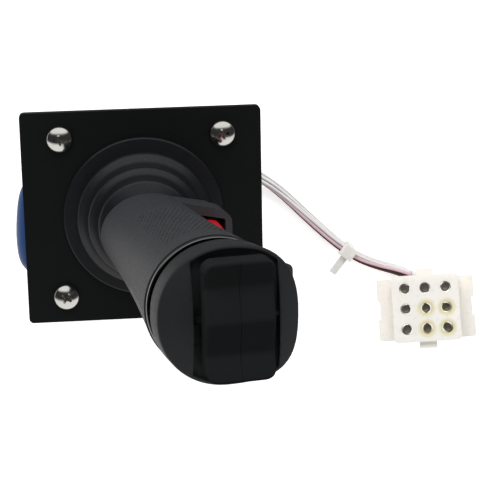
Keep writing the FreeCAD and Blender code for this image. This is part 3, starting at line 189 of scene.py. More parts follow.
soft_boxes = [
    ("left_box", (-0.10, 0.72, 0.42), (0.02, 0.0, 0.03), (0.7, 0.35), 7.3),
    ("right_box", (0.20, -0.70, 0.40), (0.02, 0.0, 0.03), (0.6, 0.3), 1.25),
    ("front_box", (0.75, -0.05, 0.40), (0.02, 0.0, 0.08), (0.4, 0.4), 2.0),
    ("rear_box", (-0.75, -0.20, 0.25), (0.0, 0.0, 0.03), (0.5, 0.4), 2.4),
]
for name, stand, target, size, watts in soft_boxes:
    light = bpy.data.lights.new(name, "AREA")
    light.shape = "RECTANGLE"
    light.size, light.size_y = size
    light.energy = watts
    box = linked(name, light)
    box.location = stand
    box.rotation_euler = (Vector(target) - Vector(stand)).to_track_quat("-Z", "Y").to_euler()
    box.visible_glossy = False


# The harness is nine thin stranded wires in PVC, laid side by side and held by one nylon tie.
# It leaves the shrink sleeve in the frame's clip, lies on the surface and fans into the back of the plug.
# There each wire ends in a crimped contact, drawn as a pale disc down its socket: painted light, for the
# light seen down the socket.
harness_route = [
    (27.75, 6.3, -32.0), (33.5, 6.3, -32.0), (40.5, 3.3, -33.8), (48.2, -2.9, -35.4),
    (57.5, -12.4, -35.9), (66.9, -21.4, -35.0), (74.2, -27.0, -35.0),
    (81.5, -30.3, -35.8), (87.6, -32.2, -35.9), (92.6, -34.3, -35.9),
    (96.0, -37.1, -35.9), (97.9, -40.2, -35.8), (98.7, -43.0, -34.8),
    (98.6, -44.9, -32.9), (97.78, -45.29, -30.75), (97.3, -44.6, -28.5),
]
harness_radius, harness_step, wire_radius = 1.9 * mm, 1.1 * mm, 0.52 * mm
lay_length, first_turn = 300 * mm, 0.12
sway_turn, sway_length, sway_step = 0.10, 9.0 * mm, 2.3
pack_share, sway_pull = 0.97, 0.3
fan_length, fan_pull = 17.5 * mm, 1.15
plug_back = Vector((97.3, -44.6, -28.5)) * mm
plug_axis = Vector((-0.198, 0.288, 0.937)).normalized()
plug_pitch = 6.7 * mm


def evaluated(made):
    """A new mesh of an object, as its modifiers leave it."""
    return bpy.data.meshes.new_from_object(made.evaluated_get(bpy.context.evaluated_depsgraph_get()))


def line_of(route):
    """Points along the smooth spline whose control points are a route's points, given in millimetres."""
    curve = bpy.data.curves.new("route", "CURVE")
    curve.dimensions = "3D"
    curve.resolution_u = 20
    spline = curve.splines.new("NURBS")
    spline.points.add(len(route) - 1)
    for point, spot in zip(spline.points, route):
        point.co = (*(Vector(spot) * mm), 1)
    spline.order_u = 3
    spline.use_endpoint_u = True
    made = linked("route", curve)
    mesh = evaluated(made)
    line = [vertex.co.copy() for vertex in mesh.vertices]
    bpy.data.objects.remove(made)
    bpy.data.curves.remove(curve)
    bpy.data.meshes.remove(mesh)
    return line


def length_of(line):
    return sum((b - a).length for a, b in zip(line, line[1:]))


def spaced(line, step):
    """The same line with its points a step apart."""
    total = length_of(line)
    count = max(2, round(total / step))
    out, done, index = [line[0].copy()], 0.0, 0
    for k in range(1, count):
        wanted = total * k / count
        while done + (line[index + 1] - line[index]).length < wanted:
            done += (line[index + 1] - line[index]).length
            index += 1
        run = line[index + 1] - line[index]
        out.append(line[index] + run * ((wanted - done) / run.length))
    return out + [line[-1].copy()]


def frames_along(line, first_side):
    """For each point of a line, the point and two directions square to the line that don't twist."""
    result, side = [], Vector(first_side)
    for k, point in enumerate(line):
        run = (line[min(k + 1, len(line) - 1)] - line[max(k - 1, 0)]).normalized()
        side = (side - run * side.dot(run)).normalized()
        result.append((point, side, run.cross(side)))
    return result


def stacked(work, rings, slot=0, smooth=True):
    """Faces between rings of points, one after the other, and over both ends."""
    for one, two in zip(rings, rings[1:]):
        for k in range(len(one)):
            after = (k + 1) % len(one)
            face = work.faces.new((one[k], one[after], two[after], two[k]))
            face.material_index = slot
            face.smooth = smooth
    for end in (list(reversed(rings[0])), rings[-1]):
        work.faces.new(end).material_index = slot


def turns(sides):
    """The cosine and the sine of even turns round a circle."""
    return [(math.cos(math.tau * k / sides), math.sin(math.tau * k / sides)) for k in range(sides)]


def tube_into(work, line, radius, slot=0, sides=12):
    """Adds a round tube with closed ends to a mesh being built."""
    rings = []
    for point, side, other in frames_along(line, first_side=(0.3, 0.2, 1.0)):
        arms = [(side * cos + other * sin) * radius for cos, sin in turns(sides)]
        rings.append([work.verts.new(point + arm) for arm in arms])
    stacked(work, rings, slot)


def mesh_object(name, work, materials=()):
    """Turns a mesh being built into an object, with its faces pointing outwards."""
    bmesh.ops.recalc_face_normals(work, faces=work.faces)
    mesh = bpy.data.meshes.new(name)
    work.to_mesh(mesh)
    work.free()
    for material in materials:
        mesh.materials.append(material)
    return linked(name, mesh)


def dress(made, node, body):
    """Lets a piece ride a body in the place of a CAD node, which it hides."""
    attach(made, body)
    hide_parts(node)


def noise_in(tree, scale, detail, stretch):
    """Noise on the object's own coordinates."""
    place = add_node(tree, "ShaderNodeTexCoord")
    turned = add_node(tree, "ShaderNodeMapping", {"Vector": place.outputs["Object"], "Scale": stretch})
    noise = add_node(tree, "ShaderNodeTexNoise", {
        "Vector": turned.outputs[0], "Scale": scale, "Detail": detail,
    })
    return noise.outputs["Fac"]


def mottled(tree, shader, spread, scale):
    """Lets the colour wander a little either side of its own value."""
    colour = Vector(shader.inputs["Base Color"].default_value[:3])
    noise = noise_in(tree, scale, 4.0, (1, 1, 1))
    mix = add_node(tree, "ShaderNodeMix", {"Factor": noise}, data_type="RGBA")
    mix.inputs["A"].default_value = (*(colour * (1 - spread)), 1)
    mix.inputs["B"].default_value = (*(colour * (1 + spread)), 1)
    tree.links.new(mix.outputs["Result"], shader.inputs["Base Color"])


def grained(tree, shader, scale, depth, wander, stretch=(1, 1, 1)):
    """A fine moulded or rolled grain: bump of a depth in metres, and roughness that wanders with it."""
    noise = noise_in(tree, scale, 5.0, stretch)
    bump = add_node(tree, "ShaderNodeBump", {"Height": noise, "Distance": depth, "Strength": 1.0})
    tree.links.new(bump.outputs[0], shader.inputs["Normal"])
    middle = shader.inputs["Roughness"].default_value
    spread = add_node(tree, "ShaderNodeMapRange", {
        "Value": noise, "From Min": 0.3, "From Max": 0.7,
        "To Min": middle - wander, "To Max": middle + wander,
    })
    tree.links.new(spread.outputs[0], shader.inputs["Roughness"])


def finish(name, colour, roughness, grain, mottle=None, metallic=0.0, specular=0.5, **more):
    """A new material on one principled shader.

    Its grain is a scale, a depth, how far the roughness wanders and sometimes a stretch; its mottle is how
    far the colour wanders, and a scale.
    """
    material = bpy.data.materials.new(name)
    material.use_nodes = True
    shader = material.node_tree.nodes["Principled BSDF"]
    shader.inputs["Base Color"].default_value = (*colour, 1)
    shader.inputs["Roughness"].default_value = roughness
    shader.inputs["Metallic"].default_value = metallic
    shader.inputs["Specular IOR Level"].default_value = specular
    for key, value in more.items():
        shader.inputs[key.replace("_", " ")].default_value = value
    if mottle:
        mottled(material.node_tree, shader, *mottle)
    grained(material.node_tree, shader, *grain)
    return material


wire_colours = [
    ("white", (0.80, 0.79, 0.79)), ("grey", (0.55, 0.54, 0.56)), ("violet", (0.42, 0.24, 0.44)),
    ("white_two", (0.82, 0.80, 0.80)), ("brown", (0.30, 0.16, 0.07)), ("yellow", (0.72, 0.55, 0.10)),
    ("orange", (0.80, 0.16, 0.03)), ("black", (0.02, 0.02, 0.02)), ("pink", (0.74, 0.50, 0.56)),
]
wire_materials = [
    finish("wire_" + name, colour, 0.38, specular=0.45, mottle=(0.07, 260), grain=(1400, 0.015 * mm, 0.06))
    for name, colour in wire_colours
]
# Eight of the wires, in the order in which they lie round the last one
wire_order = [0, 8, 7, 6, 4, 5, 1, 3, 2]


def strands(line, bundle_radius, chosen, first_side=(0, 0, 1)):
    """Lines of wires packed round a middle one, which wander a little and turn slowly along their bundle."""
    around = len(chosen) - 1
    ring = bundle_radius - wire_radius
    lines = [[] for _ in chosen]
    travelled, last = 0.0, line[0]
    for point, side, other in frames_along(line, first_side):
        travelled += (point - last).length
        last = point
        for k in range(len(chosen)):
            sway = sway_turn * math.sin(travelled / sway_length + sway_step * k)
            angle = math.tau * (k / around + first_turn - travelled / lay_length) + sway
            reach = 0.0 if k == around else ring * (pack_share - sway_pull * abs(sway))
            lines[k].append(point + (side * math.cos(angle) + other * math.sin(angle)) * reach)
    return lines


harness_line = spaced(line_of(harness_route), harness_step)
kept = list(harness_line)
while length_of(kept) > length_of(harness_line) - fan_length:
    kept.pop()
work = bmesh.new()
harness_strands = strands(kept, harness_radius, wire_order)
for line, slot in zip(harness_strands, wire_order):
    tube_into(work, line, wire_radius, slot)
harness = mesh_object("harness_wires", work, wire_materials)
dress(harness, "harness", "base")

across = Vector((1, 0.013, 0))
across = (across - plug_axis * across.dot(plug_axis)).normalized()
plug = placed(plug_back, across, plug_axis.cross(across), plug_axis)
ways = [(plug_pitch * i, plug_pitch * j) for j in (1, 0, -1) for i in (-1, 0, 1)]
outer_ways, middle_way = [0, 1, 2, 5, 8, 7, 6, 3], 4
mouth_depth, cavity_depth = -0.2 * mm, 6.0 * mm


def matched_ways():
    """The way that each strand enters: the turn of the outer ways that crosses the wires least."""
    def stretch(chosen):
        ends = [plug @ Vector((*ways[way], 0)) for way in chosen]
        return sum((end - line[-1]).length for end, line in zip(ends, harness_strands))

    orders = (outer_ways, list(reversed(outer_ways)))
    choices = [order[turn:] + order[:turn] + [middle_way] for order in orders for turn in range(len(order))]
    return min(choices, key=stretch)


def eased_path(start, start_run, end, end_run, pull, count=26):
    """A smooth line from one point and direction to another."""
    path = []
    for k in range(count + 1):
        t = k / count
        a, b = 2 * t**3 - 3 * t**2 + 1, t**3 - 2 * t**2 + t
        c, d = -2 * t**3 + 3 * t**2, t**3 - t**2
        path.append(start * a + start_run * (pull * b) + end * c + end_run * (pull * d))
    return path


work = bmesh.new()
for line, slot, way in zip(harness_strands, wire_order, matched_ways()):
    run = (line[-1] - line[-3]).normalized()
    mouth = plug @ Vector((*ways[way], mouth_depth))
    inner = plug @ Vector((*ways[way], cavity_depth))
    pull = fan_pull * (mouth - line[-1]).length
    path = eased_path(line[-1], run, mouth, plug_axis, pull) + [inner]
    for point in path:
        point.z = max(point.z, floor_level + wire_radius)
    tube_into(work, path, wire_radius, slot)
crimp_radius, crimp_height = 1.06 * mm, 25.0 * mm
for x, y in ways:
    rim = [Vector((x + crimp_radius * cos, y + crimp_radius * sin, crimp_height)) for cos, sin in turns(20)]
    work.faces.new([work.verts.new(plug @ spot) for spot in rim]).material_index = len(wire_materials)
# The discs' pale colour is painted light, for the light seen down each socket.
crimp_end_painted_light = finish("crimp_end_painted_light", (0.60, 0.55, 0.46), 0.5, grain=(1500, 0.02 * mm, 0.08))
tails = mesh_object("harness_tails", work, wire_materials + [crimp_end_painted_light])
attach(tails, "base")


# A natural nylon tie is pulled round the harness, with its ratchet head on top and a short cut tail.
# The shrink sleeve gathers the leads, and a black nylon clip holds it on the frame's tab.
def clad(material, *names):
    """Gives CAD nodes that keep their own shape a finished material."""
    for name in names:
        nodes[name].data.materials.clear()
        nodes[name].data.materials.append(material)


tie_nylon = finish(
    "tie_nylon", (0.86, 0.85, 0.81), 0.34, mottle=(0.03, 300), grain=(900, 0.012 * mm, 0.05),
    Subsurface_Weight=0.25, Subsurface_Scale=0.002, Subsurface_Radius=(1.0, 0.9, 0.7),
)
clad(tie_nylon, "cable_tie")
shrink_sleeve = finish(
    "shrink_sleeve", (0.022, 0.022, 0.023), 0.52, specular=0.35, grain=(700, 0.04 * mm, 0.08, (0.4, 1, 1))
)
clad(shrink_sleeve, "loom_sleeve")
clip_nylon = finish("clip_nylon", (0.028, 0.028, 0.030), 0.46, specular=0.4, grain=(1200, 0.02 * mm, 0.06))
clad(clip_nylon, "cable_clamp")


# The nine-way plug is moulded in natural nylon, with a latch tab above and below and two side ears.
# Nine tinned sockets sit a little below its face; a yellow glow round some of them is painted into the
# nylon's colour.
connector_nylon = finish(
    "connector_nylon", (0.92, 0.88, 0.82), 0.30, mottle=(0.03, 120), grain=(700, 0.012 * mm, 0.05),
    Subsurface_Weight=0.55, Subsurface_Scale=0.004, Subsurface_Radius=(1.0, 0.85, 0.65),
)
# Painted glow: the nylon's colour turns yellow round four of the sockets, for the light that glows through it
# there.
face_height, glow_inside, glow_outside, glow_share = 28.0 * mm, 1.9 * mm, 3.6 * mm, 0.75
tree = connector_nylon.node_tree
place = add_node(tree, "ShaderNodeTexCoord")
glow_mask = 0.0
for x, y in [ways[4], ways[5], ways[7], ways[8]]:
    middle = plug @ Vector((x, y, face_height))
    away = add_node(tree, "ShaderNodeVectorMath", {
        0: place.outputs["Object"], 1: middle,
    }, operation="DISTANCE")
    near = add_node(tree, "ShaderNodeMapRange", {
        "Value": away.outputs["Value"], "From Min": glow_inside, "From Max": glow_outside,
        "To Min": glow_share, "To Max": 0.0,
    }, interpolation_type="SMOOTHSTEP").outputs[0]
    glow_mask = add_node(tree, "ShaderNodeMath", {0: glow_mask, 1: near}, operation="MAXIMUM").outputs[0]
painted_glow = add_node(tree, "ShaderNodeMix", {"Factor": glow_mask}, data_type="RGBA")
painted_glow.inputs["B"].default_value = (0.72, 0.64, 0.30, 1)
nylon_colour = tree.nodes["Principled BSDF"].inputs["Base Color"]
tree.links.new(nylon_colour.links[0].from_socket, painted_glow.inputs["A"])
tree.links.new(painted_glow.outputs["Result"], nylon_colour)


def apply_modifiers(made, name):
    """Gives an object the mesh that its modifiers make of it."""
    mesh = evaluated(made)
    made.modifiers.clear()
    made.data = mesh
    mesh.name = name
    return mesh


def round_edges(made, width, segments, least_turn):
    """Rounds the edges at which an object's faces turn by more than an angle in degrees."""
    bevel = made.modifiers.new("round", "BEVEL")
    bevel.width = width
    bevel.segments = segments
    bevel.limit_method = "ANGLE"
    bevel.angle_limit = math.radians(least_turn)
    bevel.harden_normals = True


def eased(name, node, width, material, body, segments=2):
    """A copy of a CAD node with its sharp edges eased by a small round, which replaces the node."""
    same_place, same_plane, least_turn = 0.0012 * mm, math.radians(0.4), 38
    work = bmesh.new()
    work.from_mesh(nodes[node].data)
    bmesh.ops.remove_doubles(work, verts=work.verts, dist=same_place)
    bmesh.ops.dissolve_limit(work, angle_limit=same_plane, verts=work.verts, edges=work.edges)
    mesh = bpy.data.meshes.new(name)
    work.to_mesh(mesh)
    work.free()
    for polygon in mesh.polygons:
        polygon.use_smooth = True
    mesh.set_sharp_from_angle(angle=math.radians(30))
    made = linked(name, mesh)
    round_edges(made, width, segments, least_turn)
    mesh = apply_modifiers(made, name)
    mesh.materials.clear()
    mesh.materials.append(material)
    dress(made, node, body)
    return made


plug_shell = eased("plug_shell", "connector_housing", 0.28 * mm, connector_nylon, "base")
tinned_metal = finish("tinned_metal", (0.34, 0.31, 0.25), 0.36, metallic=1.0, grain=(1500, 0.02 * mm, 0.08))
clad(tinned_metal, "connector_contacts", "sensor_terminals")


# The face plate is cut from 3 mm steel sheet, with a satin black powder coat over slightly rounded edges.
# The boot snaps into its middle hole, and the frame hangs on studs welded under it.
plate_paint = finish(
    "plate_paint", (0.0040, 0.0046, 0.0046), 0.50, specular=0.20, mottle=(0.12, 60),
    grain=(900, 0.035 * mm, 0.07),
)
eased("plate", "face_plate", 0.22 * mm, plate_paint, "base", segments=3)


# Four pan-head screws with a cross recess hold the plate, on the corners of a square.
# They are cold-headed in steel, with a rolled thread and bright nickel plating.
bright_steel = finish(
    "bright_steel", (0.78, 0.76, 0.72), 0.16, metallic=1.0, mottle=(0.05, 500), grain=(900, 0.008 * mm, 0.05)
)
screw_square, most_turn = 50.8 * mm, 1.4
plate_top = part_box("face_plate")[1].z
screw_low, screw_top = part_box("panel_screws")[0].z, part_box("panel_screws")[1].z


def grown(name, inputs, build, material, host=None):
    """A piece grown by a geometry node tree with named inputs; build wires it and gives its last socket."""
    group = bpy.data.node_groups.new(name, "GeometryNodeTree")
    group.interface.new_socket("Geometry", in_out="INPUT", socket_type="NodeSocketGeometry")
    group.interface.new_socket("Geometry", in_out="OUTPUT", socket_type="NodeSocketGeometry")
    kinds = {float: "NodeSocketFloat", bpy.types.Object: "NodeSocketObject"}
    for label, value in inputs.items():
        group.interface.new_socket(label, in_out="INPUT", socket_type=kinds[type(value)])
    given = group.nodes.new("NodeGroupInput").outputs
    whole = add_node(group, "GeometryNodeRealizeInstances", {0: build(group, given)})
    covered = add_node(group, "GeometryNodeSetMaterial", {"Geometry": whole.outputs[0], "Material": material})
    add_node(group, "NodeGroupOutput", {0: covered.outputs[0]})
    made = host or linked(name, bpy.data.meshes.new(name))
    modifier = made.modifiers.new(name, "NODES")
    modifier.node_group = group
    for item in group.interface.items_tree:
        if item.in_out == "INPUT" and item.name in inputs:
            modifier[item.identifier] = inputs[item.name]
    apply_modifiers(made, name)
    return made


def lathe_into(work, profile, segments, closed=False):
    """Spins an outline of radius and height about Z into a mesh being built."""
    rings = []
    for radius, z in profile:
        spots = [(radius * cos, radius * sin, z) for cos, sin in turns(segments)] if radius else [(0, 0, z)]
        rings.append([work.verts.new(spot) for spot in spots])
    pairs = list(zip(rings, rings[1:]))
    if closed:
        pairs.append((rings[-1], rings[0]))
    for one, two in pairs:
        for k in range(segments):
            after = k + 1
            corners = [one[k % len(one)], one[after % len(one)], two[after % len(two)], two[k % len(two)]]
            corners = [corner for i, corner in enumerate(corners) if corner not in corners[:i]]
            work.faces.new(corners).smooth = True


def arc(centre, radius, start, end, steps):
    """Points on an arc in the radius and height plane; angles in degrees from outward, towards up."""
    out = []
    for k in range(steps + 1):
        angle = math.radians(start + (end - start) * k / steps)
        out.append((centre[0] + radius * math.cos(angle), centre[1] + radius * math.sin(angle)))
    return out


def cut_away(made, cutter):
    """Cuts one closed mesh object out of another."""
    cut = made.modifiers.new(cutter.name, "BOOLEAN")
    cut.operation = "DIFFERENCE"
    cut.solver = "EXACT"
    cut.object = cutter


def cross_cutter(top):
    """The cross recess under the top of a head, narrower at its foot."""
    arm, half, foot_share, deep, clear = 2.3 * mm, 0.46 * mm, 0.45, 1.7 * mm, 0.6 * mm
    outline, quarter = [], [(arm, -half), (arm, half), (half, half)]
    for _ in range(4):
        outline += quarter
        quarter = [(-y, x) for x, y in quarter]
    work = bmesh.new()
    foot = [work.verts.new((x * foot_share, y * foot_share, top - deep)) for x, y in outline]
    mouth = [work.verts.new((x, y, top + clear)) for x, y in outline]
    stacked(work, [foot, mouth], smooth=False)
    return mesh_object("screw_cross", work)


def screw_blank():
    """One screw standing on its head's seat at height 0: domed pan head, tapered cross, rolled thread."""
    head, rim, top, edge, seat_edge = 4.15 * mm, 0.45 * mm, screw_top - plate_top, 88, 0.25 * mm
    neck, thread, plain_length = 1.85 * mm, 2.08 * mm, plate_top
    length, point_length, point_share = plate_top - screw_low, 0.5 * mm, 0.7
    pitch, depth, crest_start, crest_end, dome_steps = 0.8 * mm, 0.28 * mm, 0.42, 0.55, 16
    profile = [(0, -length), (thread * point_share, -length)]
    for k in range(int((length - plain_length) / pitch)):
        root = -length + point_length + k * pitch
        profile += [(thread - depth, root), (thread, root + pitch * crest_start)]
        profile.append((thread, root + pitch * crest_end))
    profile += [(neck, -plain_length), (neck, 0), (head - seat_edge, 0)]
    profile += arc((head - rim, rim), rim, -60, -10, 4)
    for k in range(dome_steps):
        turn = math.radians(edge * (1 - k / dome_steps))
        profile.append((head * math.sin(turn), rim + (top - rim) * math.cos(turn)))
    profile.append((0, top))
    work = bmesh.new()
    lathe_into(work, profile, 48)
    blank = mesh_object("screw_blank", work, [bright_steel])
    cutter = cross_cutter(top)
    cut_away(blank, cutter)
    apply_modifiers(blank, "screw_blank").set_sharp_from_angle(angle=math.radians(35))
    bpy.data.objects.remove(cutter)
    return blank


def screws_on_square(group, given):
    corners = add_node(group, "GeometryNodeMeshGrid", {
        "Size X": given["Spacing"], "Size Y": given["Spacing"], "Vertices X": 2, "Vertices Y": 2,
    })
    lift = add_node(group, "ShaderNodeCombineXYZ", {"Z": given["Seat height"]})
    lifted = add_node(group, "GeometryNodeTransform", {
        "Geometry": corners.outputs["Mesh"], "Translation": lift.outputs[0],
    })
    one = add_node(group, "GeometryNodeObjectInfo", {"Object": given["Screw"]})
    turn = add_node(group, "FunctionNodeRandomValue", {
        "Seed": 4, 2: 0.0, 3: given["Most turn"],
    }, data_type="FLOAT")
    turned = add_node(group, "ShaderNodeCombineXYZ", {"Z": turn.outputs[1]})
    many = add_node(group, "GeometryNodeInstanceOnPoints", {
        "Points": lifted.outputs[0], "Instance": one.outputs["Geometry"], "Rotation": turned.outputs[0],
    })
    return many.outputs[0]


blank = screw_blank()
screw_inputs = {
    "Spacing": screw_square, "Seat height": float(plate_top), "Most turn": most_turn, "Screw": blank,
}
screws = grown("plate_screws", screw_inputs, screws_on_square, bright_steel)
bpy.data.objects.remove(blank)
dress(screws, "panel_screws", "base")


# Under the plate hangs a channel folded from 2 mm zinc-plated sheet, on studs with nuts.
# Its cheeks carry bronze bushes, stop pins and the post that the centring spring pinches.
zinc_steel = finish(
    "zinc_steel", (0.56, 0.56, 0.55), 0.34, metallic=1.0, mottle=(0.10, 90),
    grain=(420, 0.03 * mm, 0.09, (1, 0.25, 1)),
)
clad(zinc_steel, "weld_studs", "sensor_washer")
eased("frame_channel", "pivot_frame", 0.18 * mm, zinc_steel, "base")
eased("bracket", "sensor_bracket", 0.18 * mm, zinc_steel, "base")
eased("nuts_on_frame", "frame_nuts", 0.16 * mm, zinc_steel, "base")
eased("nuts_on_bracket", "bracket_nuts", 0.16 * mm, zinc_steel, "base")
clad(bright_steel, "clamp_screw")
bronze = finish(
    "bronze", (0.50, 0.34, 0.18), 0.42, metallic=1.0, mottle=(0.16, 500), grain=(2200, 0.02 * mm, 0.06)
)
clad(bronze, "shaft_bushes")
ground_steel = finish(
    "ground_steel", (0.64, 0.64, 0.63), 0.22, metallic=1.0, grain=(900, 0.006 * mm, 0.07, (1, 0.1, 1))
)
clad(ground_steel, "stop_pins", "spring_post")


# The lever is a drawn steel rod pinned in a cast hub, which turns on a ground shaft between two clips.
# A tongue on the hub pushes the centring spring.
cast_hub = finish(
    "cast_hub", (0.52, 0.52, 0.53), 0.48, metallic=1.0, mottle=(0.08, 150), grain=(500, 0.06 * mm, 0.08)
)
eased("hub", "lever_hub", 0.3 * mm, cast_hub, "lever")
clad(ground_steel, "pivot_shaft", "hub_pin", "spring_tongue")
spring_steel = finish("spring_steel", (0.34, 0.33, 0.31), 0.34, metallic=1.0, grain=(700, 0.02 * mm, 0.10))
clad(spring_steel, "shaft_clips")
rod_steel = finish(
    "rod_steel", (0.58, 0.58, 0.57), 0.28, metallic=1.0, grain=(600, 0.01 * mm, 0.07, (1, 1, 0.2))
)
clad(rod_steel, "lever_rod")


# The toothed sector is cut from steel plate and screwed to the hub, so it swings with the lever.
# It turns a small brass pinion, which a set screw holds on the sensor's shaft.
gear_steel = finish(
    "gear_steel", (0.52, 0.51, 0.47), 0.34, metallic=1.0, grain=(500, 0.02 * mm, 0.08, (1, 1, 0.3))
)
clad(gear_steel, "sector_gear")
clad(bright_steel, "gear_screws")
brass = finish(
    "brass", (0.66, 0.48, 0.20), 0.26, metallic=1.0, mottle=(0.08, 300), grain=(1200, 0.01 * mm, 0.07)
)
clad(brass, "pinion_gear")
# Near-black steel for the set and grip screws; on the thumb rocker's pin it is painted shade.
black_steel = finish("black_steel", (0.004, 0.004, 0.004), 0.5, specular=0.2, grain=(900, 0.01 * mm, 0.07))
clad(black_steel, "pinion_set_screw")


# The centring spring is cold-wound music wire round the hub's nose, with two legs down to the post.
# Its round wire follows the same coil as the solid's, from a leg on one side to a leg on the other.
coil_radius, spring_wire, spring_pitch = 8.2 * mm, 0.7 * mm, 1.55 * mm
leg_spread, leg_drop = 3.2 * mm, 15.0 * mm
whole_turns, coil_steps = 4, 260
pivot = Vector(joints["lever_tilt"]["pos_m"])
leg_angle = math.atan2(leg_drop, leg_spread) - math.acos(coil_radius / math.hypot(leg_spread, leg_drop))
first_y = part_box("return_spring")[1].y - spring_wire
turning = math.tau * whole_turns + math.pi + 2 * leg_angle
spring_line = [pivot + Vector((leg_spread, first_y, -leg_drop))]
for k in range(coil_steps + 1):
    turn = -leg_angle + turning * k / coil_steps
    y = first_y - spring_pitch * turning / math.tau * k / coil_steps
    spring_line.append(pivot + Vector((coil_radius * math.cos(turn), y, coil_radius * math.sin(turn))))
spring_line.append(Vector((-leg_spread, spring_line[-1].y, pivot.z - leg_drop)))
work = bmesh.new()
tube_into(work, spring_line, spring_wire, sides=14)
spring = mesh_object("centring_spring", work, [spring_steel])
dress(spring, "return_spring", "base")


# The position sensor is a sealed potentiometer in a glossy blue case, held by its brass bush and nut.
# Three tinned terminals stand under it, where its thin lead is soldered on.
sensor_blue = finish(
    "sensor_blue", (0.002, 0.038, 0.15), 0.24, specular=0.15, mottle=(0.14, 70), grain=(260, 0.02 * mm, 0.04)
)
clad(sensor_blue, "sensor_body")
clad(brass, "sensor_bush")
clad(ground_steel, "sensor_shaft")
eased("bush_nut", "sensor_nut", 0.2 * mm, brass, "base")


# Two leads run under the plate: the handle's wires flex from the rod to the sleeve, the sensor's lie still.
# Each is a small bundle of the same wires.
handle_lead_route = [
    (4.4, 0, -0.6), (10.0, 0, -5.72), (13.6, 2.4, -13.0), (13.6, 5.2, -21.0),
    (11.6, 7.2, -27.6), (12.6, 7.6, -32.0), (17.25, 7.6, -32.0),
]
sensor_lead_route = [
    (-28.6, -9.0, -32.6), (-21.5, -8.2, -32.9), (-14.5, 1.4, -33.2),
    (-5.0, 5.9, -33.6), (4.0, 4.6, -33.2), (10.5, 4.6, -32.0), (17.25, 4.6, -32.0),
]
lead_step, lead_sides = 0.9 * mm, 10


def lead(name, route, bundle_radius, chosen, node):
    """A bundle of some of the wires along a route, in the place of a CAD node."""
    line = spaced(line_of(route), lead_step)
    work = bmesh.new()
    for strand, slot in zip(strands(line, bundle_radius, chosen), chosen):
        tube_into(work, strand, wire_radius, slot, lead_sides)
    made = mesh_object(name, work, wire_materials)
    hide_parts(node)
    return made


handle_lead = lead("handle_lead_wires", handle_lead_route, 1.5 * mm, [0, 2, 4, 6, 3], "handle_lead")
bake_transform(handle_lead)
sensor_lead = lead("sensor_lead_wires", sensor_lead_route, 1.1 * mm, [5, 7, 8], "sensor_lead")
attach(sensor_lead, "base")
clad(wire_materials[0], "handle_wires")


# The boot is moulded in soft matt black rubber: a flat flange on the plate, three round folds and a cuff.
# Its neck snaps into the plate's hole, and its cuff grips the rod.
boot_rubber = finish(
    "boot_rubber", (0.0068, 0.0074, 0.0086), 0.36, specular=0.45, mottle=(0.10, 120),
    grain=(800, 0.02 * mm, 0.05),
)
boot_low, boot_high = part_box("boot")
boot_top, lip_low = boot_high.z - plate_top, boot_low.z - plate_top
rubber_wall, least_bend = 1.2 * mm, 0.2 * mm
flange_radius, flange_height, flange_edge = 25.2 * mm, 1.5 * mm, 0.6 * mm
fold_foot = (19.8 * mm, flange_height)
crests = [(21.6, 5.0, 1.65), (18.7, 10.2, 1.6), (15.6, 15.2, 1.3)]
grooves = [(16.2, 7.6), (13.4, 12.7), (6.4, 17.8)]
groove_bend, cuff_radius, rod_side = 0.4 * mm, 6.4 * mm, 4.2 * mm
shoulder_place, shoulder_rise, shoulder_bend = 0.56, 0.55 * mm, 3.2 * mm
neck_inner, neck, lip = 13.3 * mm, 14.8 * mm, 17.0 * mm


def rounded_points(points, radii, steps=9):
    """An outline whose corners are rounded by tangent arcs, as points."""
    out = [points[0]]
    for before, corner, after, radius in zip(points, points[1:], points[2:], radii):
        into = (corner - before).normalized()
        away = (after - corner).normalized()
        half = into.angle(away) / 2
        centre = corner + (away - into).normalized() * (radius / math.cos(half))
        arm = corner - into * (radius * math.tan(half)) - centre
        turn = 2 * half * (1 if into.x * away.y - into.y * away.x > 0 else -1)
        for k in range(steps + 1):
            cos, sin = math.cos(turn * k / steps), math.sin(turn * k / steps)
            out.append(centre + Vector((arm.x * cos - arm.y * sin, arm.x * sin + arm.y * cos)))
    return out + [points[-1]]


def run_beside(points, distance):
    """The corners of an outline at a distance on the left of another."""
    out = []
    for before, corner, after in zip(points, points[1:], points[2:]):
        into, away = (corner - before).normalized(), (after - corner).normalized()
        left = Vector((-into.y - away.y, into.x + away.x)).normalized()
        out.append(corner + left * (distance / math.cos(into.angle(away) / 2)))
    return out


folds, bends = [Vector(fold_foot)], [groove_bend]
for (radius, z, bend), (inner, inner_z) in zip(crests, grooves):
    crest, groove = Vector((radius * mm, z * mm)), Vector((inner * mm, inner_z * mm))
    slope = (groove - crest).normalized()
    shoulder = crest.lerp(groove, shoulder_place) + Vector((slope.y, -slope.x)) * shoulder_rise
    folds += [crest, shoulder, groove]
    bends += [bend * mm, shoulder_bend, groove_bend]
outside = [Vector((flange_radius, 0)), Vector((flange_radius, flange_height))] + folds
outside.append(Vector((cuff_radius, boot_top)))
inside = run_beside(outside[1:], rubber_wall)
inner_bends = []
for bend in bends:
    inner_bends.append(bend + rubber_wall if bend == groove_bend else max(bend - rubber_wall, least_bend))
slope = inside[-1] - inside[-2]
roof = inside[-2] + slope * ((rod_side - inside[-2].x) / slope.x)
rise = inside[1] - inside[0]
ledge = inside[0] + rise * ((flange_height - inside[0].y) / rise.y)
inner_line = [roof] + list(reversed(inside[1:-1])) + [ledge]
outer_side = rounded_points(outside, [flange_edge] + bends)
inner_side = rounded_points(inner_line, list(reversed(inner_bends[1:-1])))
profile = [tuple(point) for point in outer_side + [Vector((rod_side, boot_top))] + inner_side]
profile += [(neck_inner, flange_height), (neck_inner, lip_low), (lip, lip_low)]
profile += [(lip, -plate_top), (neck, -plate_top), (neck, 0)]
work = bmesh.new()
